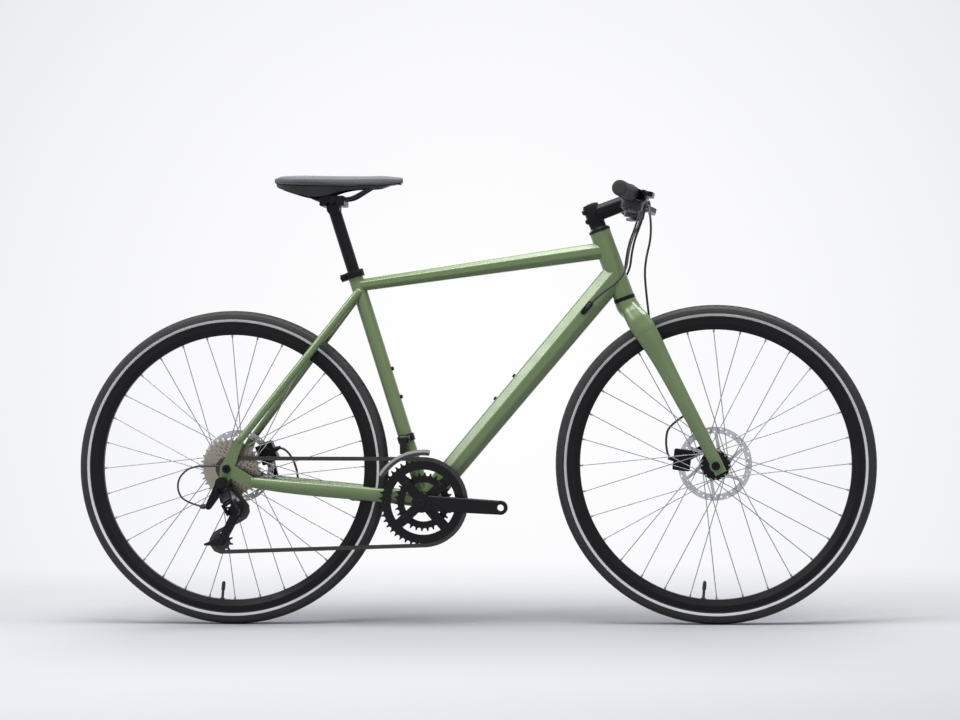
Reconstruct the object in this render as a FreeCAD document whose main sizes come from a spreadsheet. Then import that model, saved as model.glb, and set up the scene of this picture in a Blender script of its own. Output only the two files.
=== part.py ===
import FreeCAD, Part
import math
import os
import re
import Sketcher
from FreeCAD import Placement, Rotation, Vector

# Flat-bar hybrid bike. X points forward, Y to the rider's left, Z up; the origin is on the ground midway
# between the axles. Lengths are in millimetres and angles in degrees.
SIZES = {
    # fits shared by all pieces
    "running_gap": 0.3,
    "shaft_gap": 0.12,
    "cut_overrun": 6,
    # stance
    "wheel_base": 1050,
    "chainstay_length": 430,
    "bracket_drop": 75,
    "seat_angle": 73,
    "head_angle": 70.5,
    "fork_offset": 60,
    "fork_length": 402,
    # tyre and inner tube
    "tyre_radius": 343,
    "tyre_width": 32,
    "tyre_wall": 2.8,
    "tube_wall": 1,
    "valve_radius": 3,
    "valve_bore": 1.2,
    "valve_length": 42,
    "valve_angle": 264.4,
    # rim
    "rim_radius": 317,
    "rim_width": 24,
    "rim_hook": 1.6,
    "bead_radius": 311,
    "well_radius": 307.5,
    "well_width": 9,
    "shoulder_radius": 303,
    "bed_radius": 290,
    "bed_width": 10,
    "rim_wall": 1.6,
    "bed_wall": 2.5,
    # spokes and nipples
    "spoke_count": 32,
    "spoke_crosses": 3,
    "spoke_radius": 1,
    "spoke_head_radius": 2,
    "spoke_head_height": 1,
    "nipple_radius": 2.1,
    "nipple_length": 6,
    "nipple_head_radius": 3,
    "nipple_head_height": 3,
    "nipple_access_radius": 4.4,
    # hubs and axles
    "front_spacing": 100,
    "front_flange_right": 33,
    "front_flange_left": 19,
    "rear_spacing": 135,
    "rear_flange_right": 21,
    "rear_flange_left": 33,
    "flange_radius": 31.5,
    "flange_thickness": 3.2,
    "spoke_circle": 29,
    "flange_land": 24.5,
    "hub_shell_radius": 13,
    "hub_cap_radius": 9.5,
    "hub_boss_radius": 24,
    "hub_spigot_radius": 17.4,
    "axle_radius": 6,
    "axle_head_radius": 9,
    "axle_head_height": 4,
    "axle_socket_radius": 3,
    # brake rotors and calipers
    "rotor_radius": 80,
    "rotor_thickness": 1.8,
    "rotor_inset": 15.3,
    "rotor_track": 14,
    "rotor_carrier_radius": 28,
    "rotor_arms": 6,
    "rotor_arm_radius": 3.6,
    "rotor_arm_sweep": 28,
    "rotor_holes": 36,
    "rotor_hole_radius": 2,
    "rotor_bolt_circle": 22,
    "rotor_bolt_radius": 4,
    "rotor_bolt_height": 2.5,
    "caliper_length": 46,
    "caliper_inner_radius": 52,
    "caliper_outer_radius": 90,
    "caliper_inner_depth": 9.5,
    "caliper_outer_depth": 18,
    "caliper_slot": 8,
    "caliper_roof": 6,
    "caliper_rounding": 4,
    "caliper_foot": 9,
    "pad_length": 28,
    "pad_height": 17,
    "pad_gap": 0.35,
    "front_caliper_angle": 173,
    "rear_caliper_angle": 24,
    # frame tubes
    "bracket_radius": 21,
    "bracket_bore": 17.5,
    "bracket_width": 68,
    "seat_tube_radius": 16,
    "seat_tube_length": 520,
    "head_tube_radius": 22.5,
    "head_tube_bore": 19,
    "head_tube_length": 150,
    "frame_wall": 2,
    "stay_wall": 4,
    "top_tube_seat_height": 26,
    "top_tube_seat_width": 30,
    "top_tube_head_height": 36,
    "top_tube_head_width": 40,
    "top_tube_seat_drop": 29,
    "top_tube_head_drop": 42,
    "down_tube_bracket_height": 48,
    "down_tube_bracket_width": 50,
    "down_tube_head_height": 55,
    "down_tube_head_width": 46,
    "down_tube_head_rise": 52,
    "chainstay_height": 30,
    "chainstay_end_height": 22,
    "chainstay_width": 18,
    "chainstay_end_width": 14,
    "chainstay_start": 24.4,
    "chainstay_tyre_gap": 14,
    "chainstay_rise": 13,
    "seatstay_height": 18,
    "seatstay_end_height": 16,
    "seatstay_width": 15,
    "seatstay_end_width": 13,
    "seatstay_top_drop": 42,
    "seatstay_top_spread": 13,
    # dropouts
    "dropout_thickness": 7,
    "dropout_radius": 14.5,
    "dropout_stay_reach": 52,
    "dropout_stay_drop": 29,
    "dropout_stay_radius": 11.5,
    "dropout_top_reach": 28,
    "dropout_top_rise": 60,
    "dropout_top_radius": 9,
    "hanger_back": 8,
    "hanger_drop": 30,
    "hanger_radius": 10,
    # bolts on the frame and cable ports
    "bottle_bolt_radius": 4.5,
    "bottle_bolt_height": 3,
    "bottle_bolt_pitch": 64,
    "bottle_down_tube_reach": 268,
    "bottle_seat_tube_reach": 232,
    "port_length": 22,
    "port_radius": 6,
    "port_height": 2.5,
    "port_reach": 95,
    # headset, fork and stem
    "headset_lower": 8,
    "headset_upper": 10,
    "headset_radius": 23.5,
    "steerer_radius": 14.3,
    "steerer_wall": 2.4,
    "spacer_height": 9,
    "spacer_radius": 17.5,
    "crown_depth": 36,
    "crown_radius": 23.5,
    "crown_rounding": 7,
    "crown_foot_radius": 25.5,
    "leg_top_depth": 51,
    "leg_top_width": 24,
    "leg_end_depth": 26,
    "leg_end_width": 15,
    "leg_end_gap": 2.2,
    "leg_end_offset": 5,
    "leg_wall": 4,
    "leg_end_below": 19,
    "leg_boss_radius": 13,
    "stem_height": 40,
    "stem_clamp_radius": 18,
    "stem_length": 97,
    "stem_rise": 20,
    "stem_body_width": 32,
    "stem_body_height": 34,
    "stem_face_width": 46,
    "stem_face_wall": 5,
    "stem_face_gap": 1.6,
    "stem_bolt_radius": 3.8,
    "stem_bolt_height": 4,
    "stem_bolt_spread": 15,
    "top_cap_radius": 17,
    "top_cap_height": 5,
    "top_bolt_radius": 4.5,
    # handlebar, grips and controls
    "bar_width": 600,
    "bar_radius": 11.1,
    "bar_clamp_radius": 15.9,
    "bar_clamp_width": 60,
    "bar_taper": 42,
    "bar_wall": 2.2,
    "bar_sweep": 7,
    "bar_bend_start": 78,
    "bar_bend_radius": 220,
    "grip_length": 132,
    "grip_radius": 16.5,
    "grip_flange_radius": 19,
    "grip_flange_width": 5,
    "grip_end_wall": 4,
    "lever_clamp_width": 14,
    "lever_clamp_radius": 15,
    "lever_clamp_gap": 3,
    "lever_tilt": 12,
    "lever_reach": 30,
    "lever_body_radius": 9,
    "lever_body_length": 58,
    "lever_pivot_radius": 4,
    "lever_ear_height": 5,
    "lever_blade_height": 10,
    "lever_blade_length": 104,
    "lever_blade_root": 8,
    "lever_blade_waist": 6,
    "lever_blade_tip": 8,
    "lever_blade_bow": 24,
    "shifter_clamp_width": 11,
    "shifter_clamp_radius": 14.5,
    "shifter_pod_width": 34,
    "shifter_pod_depth": 44,
    "shifter_pod_height": 20,
    "shifter_pod_rounding": 7,
    "shifter_pod_drop": 22,
    "shift_lever_length": 44,
    "shift_lever_root": 8,
    "shift_lever_tip": 7,
    "shift_lever_height": 5,
    # seatpost and saddle
    "seatpost_radius": 13.6,
    "seatpost_wall": 2.2,
    "seatpost_insert": 140,
    "seatpost_head_rise": 147,
    "seatpost_head_radius": 14,
    "seatpost_head_width": 34,
    "seat_clamp_radius": 21,
    "seat_clamp_height": 15,
    "seat_clamp_overlap": 11,
    "seat_clamp_ear": 13,
    "seat_clamp_ear_width": 17,
    "seat_clamp_bolt_radius": 3,
    "rail_radius": 3.5,
    "rail_spread": 22,
    "rail_rise": 20,
    "saddle_clamp_length": 54,
    "saddle_clamp_height": 22,
    "saddle_clamp_side": 6,
    "saddle_length": 270,
    "saddle_width": 158,
    "saddle_setback": 122,
    "saddle_height": 53,
    "saddle_lift": 30.5,
    "saddle_base_wall": 4,
    # crank, chainrings and bottom bracket
    "crank_length": 170,
    "crank_angle": -3.6,
    "spindle_radius": 12,
    "cup_radius": 22.5,
    "cup_width": 9,
    "cup_sleeve": 14,
    "crank_inset": 61,
    "crank_boss_radius": 21,
    "crank_boss_width": 17,
    "crank_root_width": 34,
    "crank_end_radius": 15,
    "crank_thickness": 14,
    "crank_flare": 8,
    "pedal_hole_radius": 7.1,
    "spindle_cap_radius": 9,
    "spindle_cap_height": 2,
    "chain_pitch": 12.7,
    "big_ring_teeth": 46,
    "small_ring_teeth": 30,
    "ring_thickness": 1.8,
    "big_ring_line": 50,
    "small_ring_line": 42,
    "big_ring_inner": 70,
    "small_ring_inner": 42,
    "ring_bolt_circle": 52,
    "ring_bolt_radius": 5,
    "ring_tab_radius": 11,
    "spider_arms": 4,
    "spider_arm_radius": 10,
    "spider_thickness": 5,
    # chain
    "roller_radius": 3.85,
    "chain_inner_gap": 2.4,
    "chain_plate": 0.8,
    "chain_plate_gap": 0.1,
    "chain_plate_radius": 4.2,
    "chain_pin_radius": 1.8,
    "chain_pin_head": 0.4,
    "tooth_relief": 0.45,
    "tooth_height": 2.8,
    # cassette
    "cog_pitch": 4.8,
    "cog_thickness": 1.8,
    "cog_inset": 5.5,
    "freehub_radius": 15.5,
    "cog_spacer_radius": 17,
    "lockring_radius": 17,
    "lockring_height": 1.3,
    # rear derailleur
    "guide_forward": 21,
    "guide_drop": 89,
    "cage_length": 77,
    "pulley_teeth": 11,
    "pulley_thickness": 2,
    "pulley_bore": 3,
    "cage_plate": 1.6,
    "cage_gap": 8.8,
    "cage_guide_radius": 10,
    "cage_tension_radius": 8.5,
    "cage_tail": 36,
    "cage_tail_rise": 6,
    "cage_tail_radius": 2.5,
    "cage_bolt_head": 1.6,
    "cage_pin_radius": 4,
    "cage_pin_length": 12,
    "knuckle_radius": 12,
    "knuckle_length": 40,
    "mount_radius": 13,
    "mount_length": 20,
    "mount_bolt_radius": 6,
    "mount_bolt_height": 3,
    "link_slant": 60.5,
    "link_length": 38,
    "link_angle": 40,
    "link_width": 18,
    "link_radius": 3.4,
    "link_pair_gap": 12,
    "link_pivot_inset": 7,
    "link_pin_radius": 2,
    "link_ear": 4,
    "link_knuckle_reach": 20,
    "barrel_back": 38,
    "barrel_drop": 80,
    "barrel_radius": 4.2,
    "barrel_length": 14,
    "barrel_arm_width": 14,
    # front derailleur
    "band_rise": 142,
    "band_height": 16,
    "band_wall": 3,
    "changer_arm_length": 30,
    "changer_arm_height": 16,
    "changer_pivot_radius": 3,
    "changer_gap": 5,
    "changer_plate": 1.6,
    "changer_inner_offset": 5.5,
    "changer_outer_offset": 6,
    "changer_plate_height": 12,
    "changer_start_angle": 82,
    "changer_end_angle": 148,
    # cables and hoses
    "hose_radius": 2.5,
    "cable_radius": 2.1,
    "cable_lead": 34,
    "hose_lead": 30,
    "cable_pitch": 6,
    "leg_hose_bow": 44,
    "leg_hose_drop": 26,
    "front_hose_lead": 12,
    "rear_hose_lead": 20,
    "rear_hose_rise": 36,
    "housing_loop": 96,
    "housing_end_angle": 155,
    "barrel_lead": 40,
}

# Tooth counts of the eight cogs, smallest and outermost first.
COG_TEETH = (11, 13, 15, 18, 21, 24, 28, 32)

doc = FreeCAD.newDocument("hybrid_bike")
sheet = doc.addObject("Spreadsheet::Sheet", "Sizes")
for row, (alias, amount) in enumerate(SIZES.items(), start=1):
    sheet.set(f"A{row}", alias)
    sheet.set(f"B{row}", str(amount))
    sheet.setAlias(f"B{row}", alias)
doc.recompute()


class SheetSizes:
    """The sheet's cells, read by alias."""

    def __getattr__(self, alias):
        return float(sheet.get(alias))


size = SheetSizes()
nodes = {}
ORIGIN = Vector(0, 0, 0)
FORWARD = Vector(1, 0, 0)
LEFT = Vector(0, 1, 0)
RIGHT = Vector(0, -1, 0)
UP = Vector(0, 0, 1)


# Helpers for parametric objects

def bound(text):
    """The text of a size as an expression on the sheet."""
    return re.sub(r"\b([a-z]\w*)\b(?!\()", r"Sizes.\1", text)


def bind(piece, **texts):
    for property_name, text in texts.items():
        piece.setExpression(property_name, bound(text))


def keep(label, piece):
    piece.Label = label
    nodes[label] = piece
    return piece


def placed(base, axis):
    return Placement(base, Rotation(UP, axis))


def cylinder(name, radius, height, base, axis):
    piece = doc.addObject("Part::Cylinder", name)
    bind(piece, Radius=radius, Height=height)
    piece.Placement = placed(base, axis)
    return piece


def torus(name, ring, section, base, axis):
    piece = doc.addObject("Part::Torus", name)
    bind(piece, Radius1=ring, Radius2=section)
    piece.Placement = placed(base, axis)
    return piece


def subtract(name, base, *tools):
    piece = base
    for number, tool in enumerate(tools, start=1):
        cut = doc.addObject("Part::Cut", f"{name}_cut_{number}")
        cut.Base = piece
        cut.Tool = tool
        piece = cut
    return piece


def feature(name, shape):
    piece = doc.addObject("Part::Feature", name)
    piece.Shape = shape
    return piece


def lathe(name, corners, base, axis):
    """Body turned about an axis: the corners are (radius, along) texts, measured from the base."""
    body = doc.addObject("PartDesign::Body", name)
    plane = next(item for item in body.Origin.OriginFeatures if item.Role == "XZ_Plane")
    sketch = body.newObject("Sketcher::SketchObject", f"{name}_profile")
    sketch.AttachmentSupport = (plane, [""])
    sketch.MapMode = "FlatFace"
    count = len(corners)
    starts = [Vector(index + 1, index * index + 1, 0) for index in range(count)]
    for index in range(count):
        sketch.addGeometry(Part.LineSegment(starts[index], starts[(index + 1) % count]))
    for index in range(count):
        sketch.addConstraint(Sketcher.Constraint("Coincident", index, 2, (index + 1) % count, 1))
    for index, (radius, along) in enumerate(corners):
        for kind, text, axis_line in (("DistanceX", radius, -2), ("DistanceY", along, -1)):
            if text == "0":
                sketch.addConstraint(Sketcher.Constraint("PointOnObject", index, 1, axis_line))
            else:
                number = sketch.addConstraint(Sketcher.Constraint(kind, -1, 1, index, 1, 1))
                sketch.setExpression(f"Constraints[{number}]", bound(text))
    turn = body.newObject("PartDesign::Revolution", f"{name}_turn")
    turn.Profile = sketch
    turn.ReferenceAxis = (sketch, ["V_Axis"])
    turn.Angle = 360
    body.Placement = placed(base, axis)
    return body


def mirrored(name, source):
    """The same piece on the other side of the bike."""
    piece = doc.addObject("Part::Mirroring", name)
    piece.Source = source
    piece.Base = ORIGIN
    piece.Normal = LEFT
    return piece


# Helpers for shapes worked out from the sizes

def rod(start, end, radius):
    run = end - start
    return Part.makeCylinder(radius, run.Length, start, run)


def disc(center, radius, depth, axis=LEFT):
    """A cylinder centred on a point."""
    return Part.makeCylinder(radius, depth, center - axis * (depth / 2), axis)


def brick(center, along, across, sides):
    """A box centred on a point, with its first two sides along the given directions."""
    rise = along.cross(across)
    length, width, height = sides
    box = Part.makeBox(length, width, height, Vector(-length / 2, -width / 2, -height / 2))
    box.Placement = Placement(center, Rotation(along, across, rise, "ZXY"))
    return box


def polar(angle, radius, across=0):
    """A point at an angle from forward, in the plane of the wheels."""
    turn = math.radians(angle)
    return Vector(radius * math.cos(turn), across, radius * math.sin(turn))


def rounded(points, radius):
    """Closed wire through the points, with its corners rounded."""
    bends = []
    count = len(points)
    for index, corner in enumerate(points):
        before = (points[index - 1] - corner).normalize()
        after = (points[(index + 1) % count] - corner).normalize()
        half = before.getAngle(after) / 2
        reach = radius / math.tan(half)
        inward = (before + after).normalize()
        middle = corner + inward * (radius / math.sin(half) - radius)
        bends.append((corner + before * reach, middle, corner + after * reach))
    edges = []
    for index, (start, middle, end) in enumerate(bends):
        edges.append(Part.Arc(start, middle, end).toShape())
        edges.append(Part.LineSegment(end, bends[(index + 1) % count][0]).toShape())
    return Part.Wire(edges)


def bar_plate(first, first_radius, second, second_radius, depth, axis=LEFT):
    """A flat bar round two points, centred on them along the axis."""
    run = second - first
    along = Vector(run).normalize()
    across = axis.cross(along)
    lean = math.acos((first_radius - second_radius) / run.Length)
    upper = along * math.cos(lean) + across * math.sin(lean)
    lower = along * math.cos(lean) - across * math.sin(lean)
    outline = Part.Wire([
        Part.LineSegment(first + upper * first_radius, second + upper * second_radius).toShape(),
        Part.Arc(second + upper * second_radius, second + along * second_radius,
                 second + lower * second_radius).toShape(),
        Part.LineSegment(second + lower * second_radius, first + lower * first_radius).toShape(),
        Part.Arc(first + lower * first_radius, first - along * first_radius,
                 first + upper * first_radius).toShape()])
    face = Part.Face(outline)
    face.translate(axis * (-depth / 2))
    return face.extrude(axis * depth)


def fused(shapes):
    return shapes[0].fuse(shapes[1:]).removeSplitter()


def section(center, along, half_width, half_height, shares, corner):
    """Cross-section of a tube: corners at shares of its half sizes, across and up."""
    across = (LEFT - along * along.dot(LEFT)).normalize()
    rise = along.cross(across)
    points = [center + across * (half_width * y) + rise * (half_height * z) for y, z in shares]
    return rounded(points, corner)


def tube_solid(stations, shares, corner_share, ruled, shrink=0):
    """Solid through stations of (centre, half width, half height), drawn in by a wall."""
    wires = []
    for index, (center, half_width, half_height) in enumerate(stations):
        before = stations[max(index - 1, 0)][0]
        after = stations[min(index + 1, len(stations) - 1)][0]
        along = (after - before).normalize()
        inner_width = half_width - shrink
        inner_height = half_height - shrink
        corner = corner_share * min(inner_width, inner_height)
        wires.append(section(center, along, inner_width, inner_height, shares, corner))
    return Part.makeLoft(wires, True, ruled)


def oval_solid(stations, shrink=0):
    """Smooth oval tube through stations of (centre, half width, half height), taller than it is wide."""
    wires = []
    for index, (center, half_width, half_height) in enumerate(stations):
        before = stations[max(index - 1, 0)][0]
        after = stations[min(index + 1, len(stations) - 1)][0]
        along = (after - before).normalize()
        across = (LEFT - along * along.dot(LEFT)).normalize()
        rise = along.cross(across)
        oval = Part.Ellipse(center + rise * (half_height - shrink), center + across * (half_width - shrink),
                            center)
        wires.append(Part.Wire([oval.toShape()]))
    return Part.makeLoft(wires, True, False)


def pipe(points, radius, longest_reach=math.inf):
    """Cable along a route: straight runs joined by arcs as large as the runs allow."""
    bends = []
    for before, corner, after in zip(points, points[1:], points[2:]):
        back = before - corner
        ahead = after - corner
        reach = min(min(back.Length, ahead.Length) * BEND_SHARE, longest_reach)
        back.normalize()
        ahead.normalize()
        half = back.getAngle(ahead) / 2
        bend = reach * math.tan(half)
        middle = corner + (back + ahead).normalize() * (bend / math.sin(half) - bend)
        bends.append((corner + back * reach, middle, corner + ahead * reach))
    edges = []
    here = points[0]
    for start, middle, end in bends:
        edges.append(Part.LineSegment(here, start).toShape())
        edges.append(Part.Arc(start, middle, end).toShape())
        here = end
    edges.append(Part.LineSegment(here, points[-1]).toShape())
    route = Part.Wire(edges)
    ring = Part.Wire([Part.makeCircle(radius, points[0], points[1] - points[0])])
    shape = route.makePipeShell([ring], True, False)
    filled = shape.Volume / (math.pi * radius * radius * route.Length)
    print(f"cable length {route.Length:.1f}, filled {filled:.4f}")
    return shape


# Share of a run that a cable's bend may take at each end.
BEND_SHARE = 0.45
# Tube cross-sections, as shares of the half width and half height.
FACET_SHARES = ((0.45, 1), (-0.45, 1), (-1, 0.2), (-1, -0.5), (-0.55, -1), (0.55, -1), (1, -0.5), (1, 0.2))
OVAL_SHARES = ((0.5, 1), (-0.5, 1), (-1, 0.4), (-1, -0.4), (-0.5, -1), (0.5, -1), (1, -0.4), (1, 0.4))
FACET_CORNER_SHARE = 0.32
OVAL_CORNER_SHARE = 0.55

# Reference points of the bike

rear_axle = Vector(-size.wheel_base / 2, 0, size.tyre_radius)
front_axle = Vector(size.wheel_base / 2, 0, size.tyre_radius)
bracket_reach = math.sqrt(size.chainstay_length ** 2 - size.bracket_drop ** 2)
bracket = rear_axle + Vector(bracket_reach, 0, -size.bracket_drop)
seat_up = polar(180 - size.seat_angle, 1)
seat_front = polar(90 - size.seat_angle, 1)
seat_top = bracket + seat_up * size.seat_tube_length
steer_up = polar(180 - size.head_angle, 1)
steer_front = polar(90 - size.head_angle, 1)
steer_foot = front_axle - steer_front * size.fork_offset
crown_seat = steer_foot + steer_up * math.sqrt(size.fork_length ** 2 - size.fork_offset ** 2)
head_low = crown_seat + steer_up * size.headset_lower
head_top = head_low + steer_up * size.head_tube_length
spacer_low = head_top + steer_up * (size.headset_upper + size.running_gap)
stem_low = spacer_low + steer_up * size.spacer_height
stem_middle = stem_low + steer_up * (size.stem_height / 2)
stem_top = stem_low + steer_up * size.stem_height
stem_along = polar(size.stem_rise, 1)
bar_middle = stem_middle + stem_along * size.stem_length


# Frame tubes

shell_block = Part.makeCylinder(size.bracket_radius, size.bracket_width,
                                bracket + RIGHT * (size.bracket_width / 2), LEFT)
seat_block = Part.makeCylinder(size.seat_tube_radius, size.seat_tube_length, bracket, seat_up)
head_block = Part.makeCylinder(size.head_tube_radius, size.head_tube_length, head_low, steer_up)

shell_right = bracket + RIGHT * (size.bracket_width / 2)
keep("bottom_bracket_shell", subtract(
    "shell",
    cylinder("shell_outside", "bracket_radius", "bracket_width", shell_right, LEFT),
    cylinder("shell_bore", "bracket_bore", "bracket_width", shell_right, LEFT)))

keep("head_tube", subtract(
    "head",
    cylinder("head_outside", "head_tube_radius", "head_tube_length", head_low, steer_up),
    cylinder("head_bore", "head_tube_bore", "head_tube_length", head_low, steer_up)))

keep("seat_tube", subtract(
    "seat",
    cylinder("seat_outside", "seat_tube_radius", "seat_tube_length", bracket, seat_up),
    cylinder("seat_bore", "seatpost_radius + shaft_gap", "seat_tube_length", bracket, seat_up),
    cylinder("seat_mitre", "bracket_radius", "bracket_width", shell_right, LEFT)))

top_tube_stations = (
    (seat_top - seat_up * size.top_tube_seat_drop,
     size.top_tube_seat_width / 2, size.top_tube_seat_height / 2),
    (head_top - steer_up * size.top_tube_head_drop,
     size.top_tube_head_width / 2, size.top_tube_head_height / 2))
down_tube_stations = (
    (bracket, size.down_tube_bracket_width / 2, size.down_tube_bracket_height / 2),
    (head_low + steer_up * size.down_tube_head_rise,
     size.down_tube_head_width / 2, size.down_tube_head_height / 2))
top_tube_block = tube_solid(top_tube_stations, OVAL_SHARES, FACET_CORNER_SHARE, True)
down_tube_block = tube_solid(down_tube_stations, FACET_SHARES, FACET_CORNER_SHARE, True)
top_tube_hollow = tube_solid(top_tube_stations, OVAL_SHARES, FACET_CORNER_SHARE, True, size.frame_wall)
down_tube_hollow = tube_solid(down_tube_stations, FACET_SHARES, FACET_CORNER_SHARE, True, size.frame_wall)
keep("top_tube", feature("top_tube", top_tube_block.cut([top_tube_hollow, seat_block, head_block])))
down_tube_shape = down_tube_block.cut([down_tube_hollow, shell_block, seat_block, head_block, top_tube_block])
keep("down_tube", feature("down_tube", max(down_tube_shape.Solids, key=lambda solid: solid.Volume)))


# Dropouts, chainstays and seatstays

dropout_middle = (size.rear_spacing + size.dropout_thickness) / 2
stay_end = rear_axle + Vector(size.dropout_stay_reach, 0, -size.dropout_stay_drop)
top_end = rear_axle + Vector(size.dropout_top_reach, 0, size.dropout_top_rise)
hanger = rear_axle + Vector(-size.hanger_back, 0, -size.hanger_drop)


def dropout_block(side):
    """Plate round the axle, with arms to the stays and, on the right, the derailleur hanger."""
    out = side * dropout_middle
    depth = size.dropout_thickness
    arms = [bar_plate(rear_axle + out, size.dropout_radius, stay_end + out, size.dropout_stay_radius, depth),
            bar_plate(rear_axle + out, size.dropout_radius, top_end + out, size.dropout_top_radius, depth)]
    if side == RIGHT:
        arms.append(bar_plate(rear_axle + out, size.dropout_radius, hanger + out, size.hanger_radius, depth))
    return fused(arms)


axle_hole = disc(rear_axle, size.axle_radius + size.shaft_gap, size.rear_spacing * 2)
hanger_hole = disc(hanger + RIGHT * dropout_middle, size.mount_bolt_radius + size.shaft_gap,
                   size.dropout_thickness * 2)
dropout_blocks = {"right": dropout_block(RIGHT), "left": dropout_block(LEFT)}
keep("dropouts", feature("dropouts", Part.makeCompound([
    dropout_blocks["right"].cut([axle_hole, hanger_hole]), dropout_blocks["left"].cut(axle_hole)])))

# Plan of a chainstay, as shares of its length: the tyre is passed at the second share.
CHAINSTAY_SHARES = (0.04, 0.24, 0.55, 0.94)


def chainstay_stations(side):
    start_share, tyre_share, bow_share, end_share = CHAINSTAY_SHARES
    run = rear_axle - bracket
    spread = (size.chainstay_start, size.tyre_width / 2 + size.chainstay_tyre_gap,
              size.tyre_width + size.chainstay_tyre_gap + size.running_gap, dropout_middle)
    widths = (size.chainstay_width, size.chainstay_width, size.chainstay_width, size.chainstay_end_width)
    heights = (size.chainstay_height, size.chainstay_height, size.chainstay_height, size.chainstay_end_height)
    drops = (0, size.chainstay_rise / 4, size.chainstay_rise, size.dropout_stay_drop)
    stations = []
    for share, out, width, height, drop in zip(CHAINSTAY_SHARES, spread, widths, heights, drops):
        center = bracket + run * share + side * out
        if share == end_share:
            center = Vector(stay_end.x, 0, stay_end.z) + side * out
        else:
            center = center - UP * drop
        stations.append((center, width / 2, height / 2))
    return stations


def seatstay_stations(side):
    top = seat_top - seat_up * size.seatstay_top_drop + side * size.seatstay_top_spread
    return ((top, size.seatstay_width / 2, size.seatstay_height / 2),
            (top_end + side * dropout_middle, size.seatstay_end_width / 2, size.seatstay_end_height / 2))


chainstay_blocks = {}
seatstay_blocks = {}
chainstay_shapes = []
seatstay_shapes = []
for name, side in (("right", RIGHT), ("left", LEFT)):
    stations = chainstay_stations(side)
    chainstay_blocks[name] = oval_solid(stations)
    hollow = oval_solid(stations, size.stay_wall)
    chainstay_shapes.append(chainstay_blocks[name].cut([hollow, shell_block, dropout_blocks[name]]))
    stations = seatstay_stations(side)
    seatstay_blocks[name] = oval_solid(stations)
    hollow = oval_solid(stations, size.stay_wall)
    seatstay_shapes.append(seatstay_blocks[name].cut([hollow, seat_block, top_tube_block,
                                                      dropout_blocks[name]]))
keep("chainstays", feature("chainstays", Part.makeCompound(
    [max(shape.Solids, key=lambda solid: solid.Volume) for shape in chainstay_shapes])))
keep("seatstays", feature("seatstays", Part.makeCompound(
    [max(shape.Solids, key=lambda solid: solid.Volume) for shape in seatstay_shapes])))


# Seat clamp, bottle bolts and cable ports

clamp_low = seat_top - seat_up * size.seat_clamp_overlap
ear_middle = (seat_top - seat_up * (size.seat_clamp_overlap - size.seat_clamp_height / 2)
              - seat_front * (size.seat_clamp_radius + size.seat_clamp_ear / 4))
clamp_ring = Part.makeCylinder(size.seat_clamp_radius, size.seat_clamp_height, clamp_low, seat_up)
clamp_ear = brick(ear_middle, seat_front, LEFT,
                  (size.seat_clamp_ear, size.seat_clamp_ear_width, size.seat_clamp_height))
clamp_bores = [seat_block,
               Part.makeCylinder(size.seatpost_radius + size.shaft_gap, size.seat_tube_length,
                                 seat_top - seat_up * size.cut_overrun, seat_up)]
clamp_slot = brick(ear_middle, seat_front, LEFT,
                   (size.seat_clamp_ear + size.cut_overrun, size.seat_clamp_bolt_radius / 2,
                    size.seat_clamp_height * 2))
clamp_bolt_hole = disc(ear_middle - seat_front * (size.seat_clamp_ear / 4), size.seat_clamp_bolt_radius
                       + size.shaft_gap, size.seat_clamp_ear_width + size.cut_overrun)
clamp_bolt = disc(ear_middle - seat_front * (size.seat_clamp_ear / 4), size.seat_clamp_bolt_radius,
                  size.seat_clamp_ear_width + size.seat_clamp_bolt_radius)
keep("seat_clamp", feature("seat_clamp", Part.makeCompound([
    clamp_ring.fuse(clamp_ear).cut(clamp_bores + [clamp_slot, clamp_bolt_hole]).removeSplitter(),
    clamp_bolt])))

down_along = (down_tube_stations[1][0] - bracket).normalize()
down_rise = down_along.cross(LEFT)


def tube_half_height(stations, reach):
    """Half height of a tapered tube at a distance from its first station."""
    share = reach / (stations[1][0] - stations[0][0]).Length
    return stations[0][2] + (stations[1][2] - stations[0][2]) * share


def tube_half_width(stations, reach):
    share = reach / (stations[1][0] - stations[0][0]).Length
    return stations[0][1] + (stations[1][1] - stations[0][1]) * share


fittings = []
for number in range(2):
    reach = size.bottle_down_tube_reach + number * size.bottle_bolt_pitch
    face = bracket + down_along * reach + down_rise * (tube_half_height(down_tube_stations, reach)
                                                       - size.bottle_bolt_height)
    fittings.append(Part.makeCylinder(size.bottle_bolt_radius, size.bottle_bolt_height * 2, face,
                                      down_rise).cut(down_tube_block))
    reach = size.bottle_seat_tube_reach + number * size.bottle_bolt_pitch
    face = bracket + seat_up * reach + seat_front * (size.seat_tube_radius - size.bottle_bolt_height)
    fittings.append(Part.makeCylinder(size.bottle_bolt_radius, size.bottle_bolt_height * 2, face,
                                      seat_front).cut(seat_block))
down_length = (down_tube_stations[1][0] - bracket).Length
port_reach = down_length - size.port_reach
port_half_width = tube_half_width(down_tube_stations, port_reach)
port_center = bracket + down_along * port_reach
for side in (RIGHT, LEFT):
    middle = port_center + side * (port_half_width + size.port_height / 2 - size.port_height)
    port = bar_plate(middle - down_along * (size.port_length / 2), size.port_radius,
                     middle + down_along * (size.port_length / 2), size.port_radius, size.port_height * 3)
    fittings.append(port.cut(down_tube_block).Solids[0] if side == RIGHT else
                    port.cut(down_tube_block).Solids[-1])
keep("frame_fittings", feature("frame_fittings", Part.makeCompound(fittings)))


# Headset, fork and stem

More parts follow.
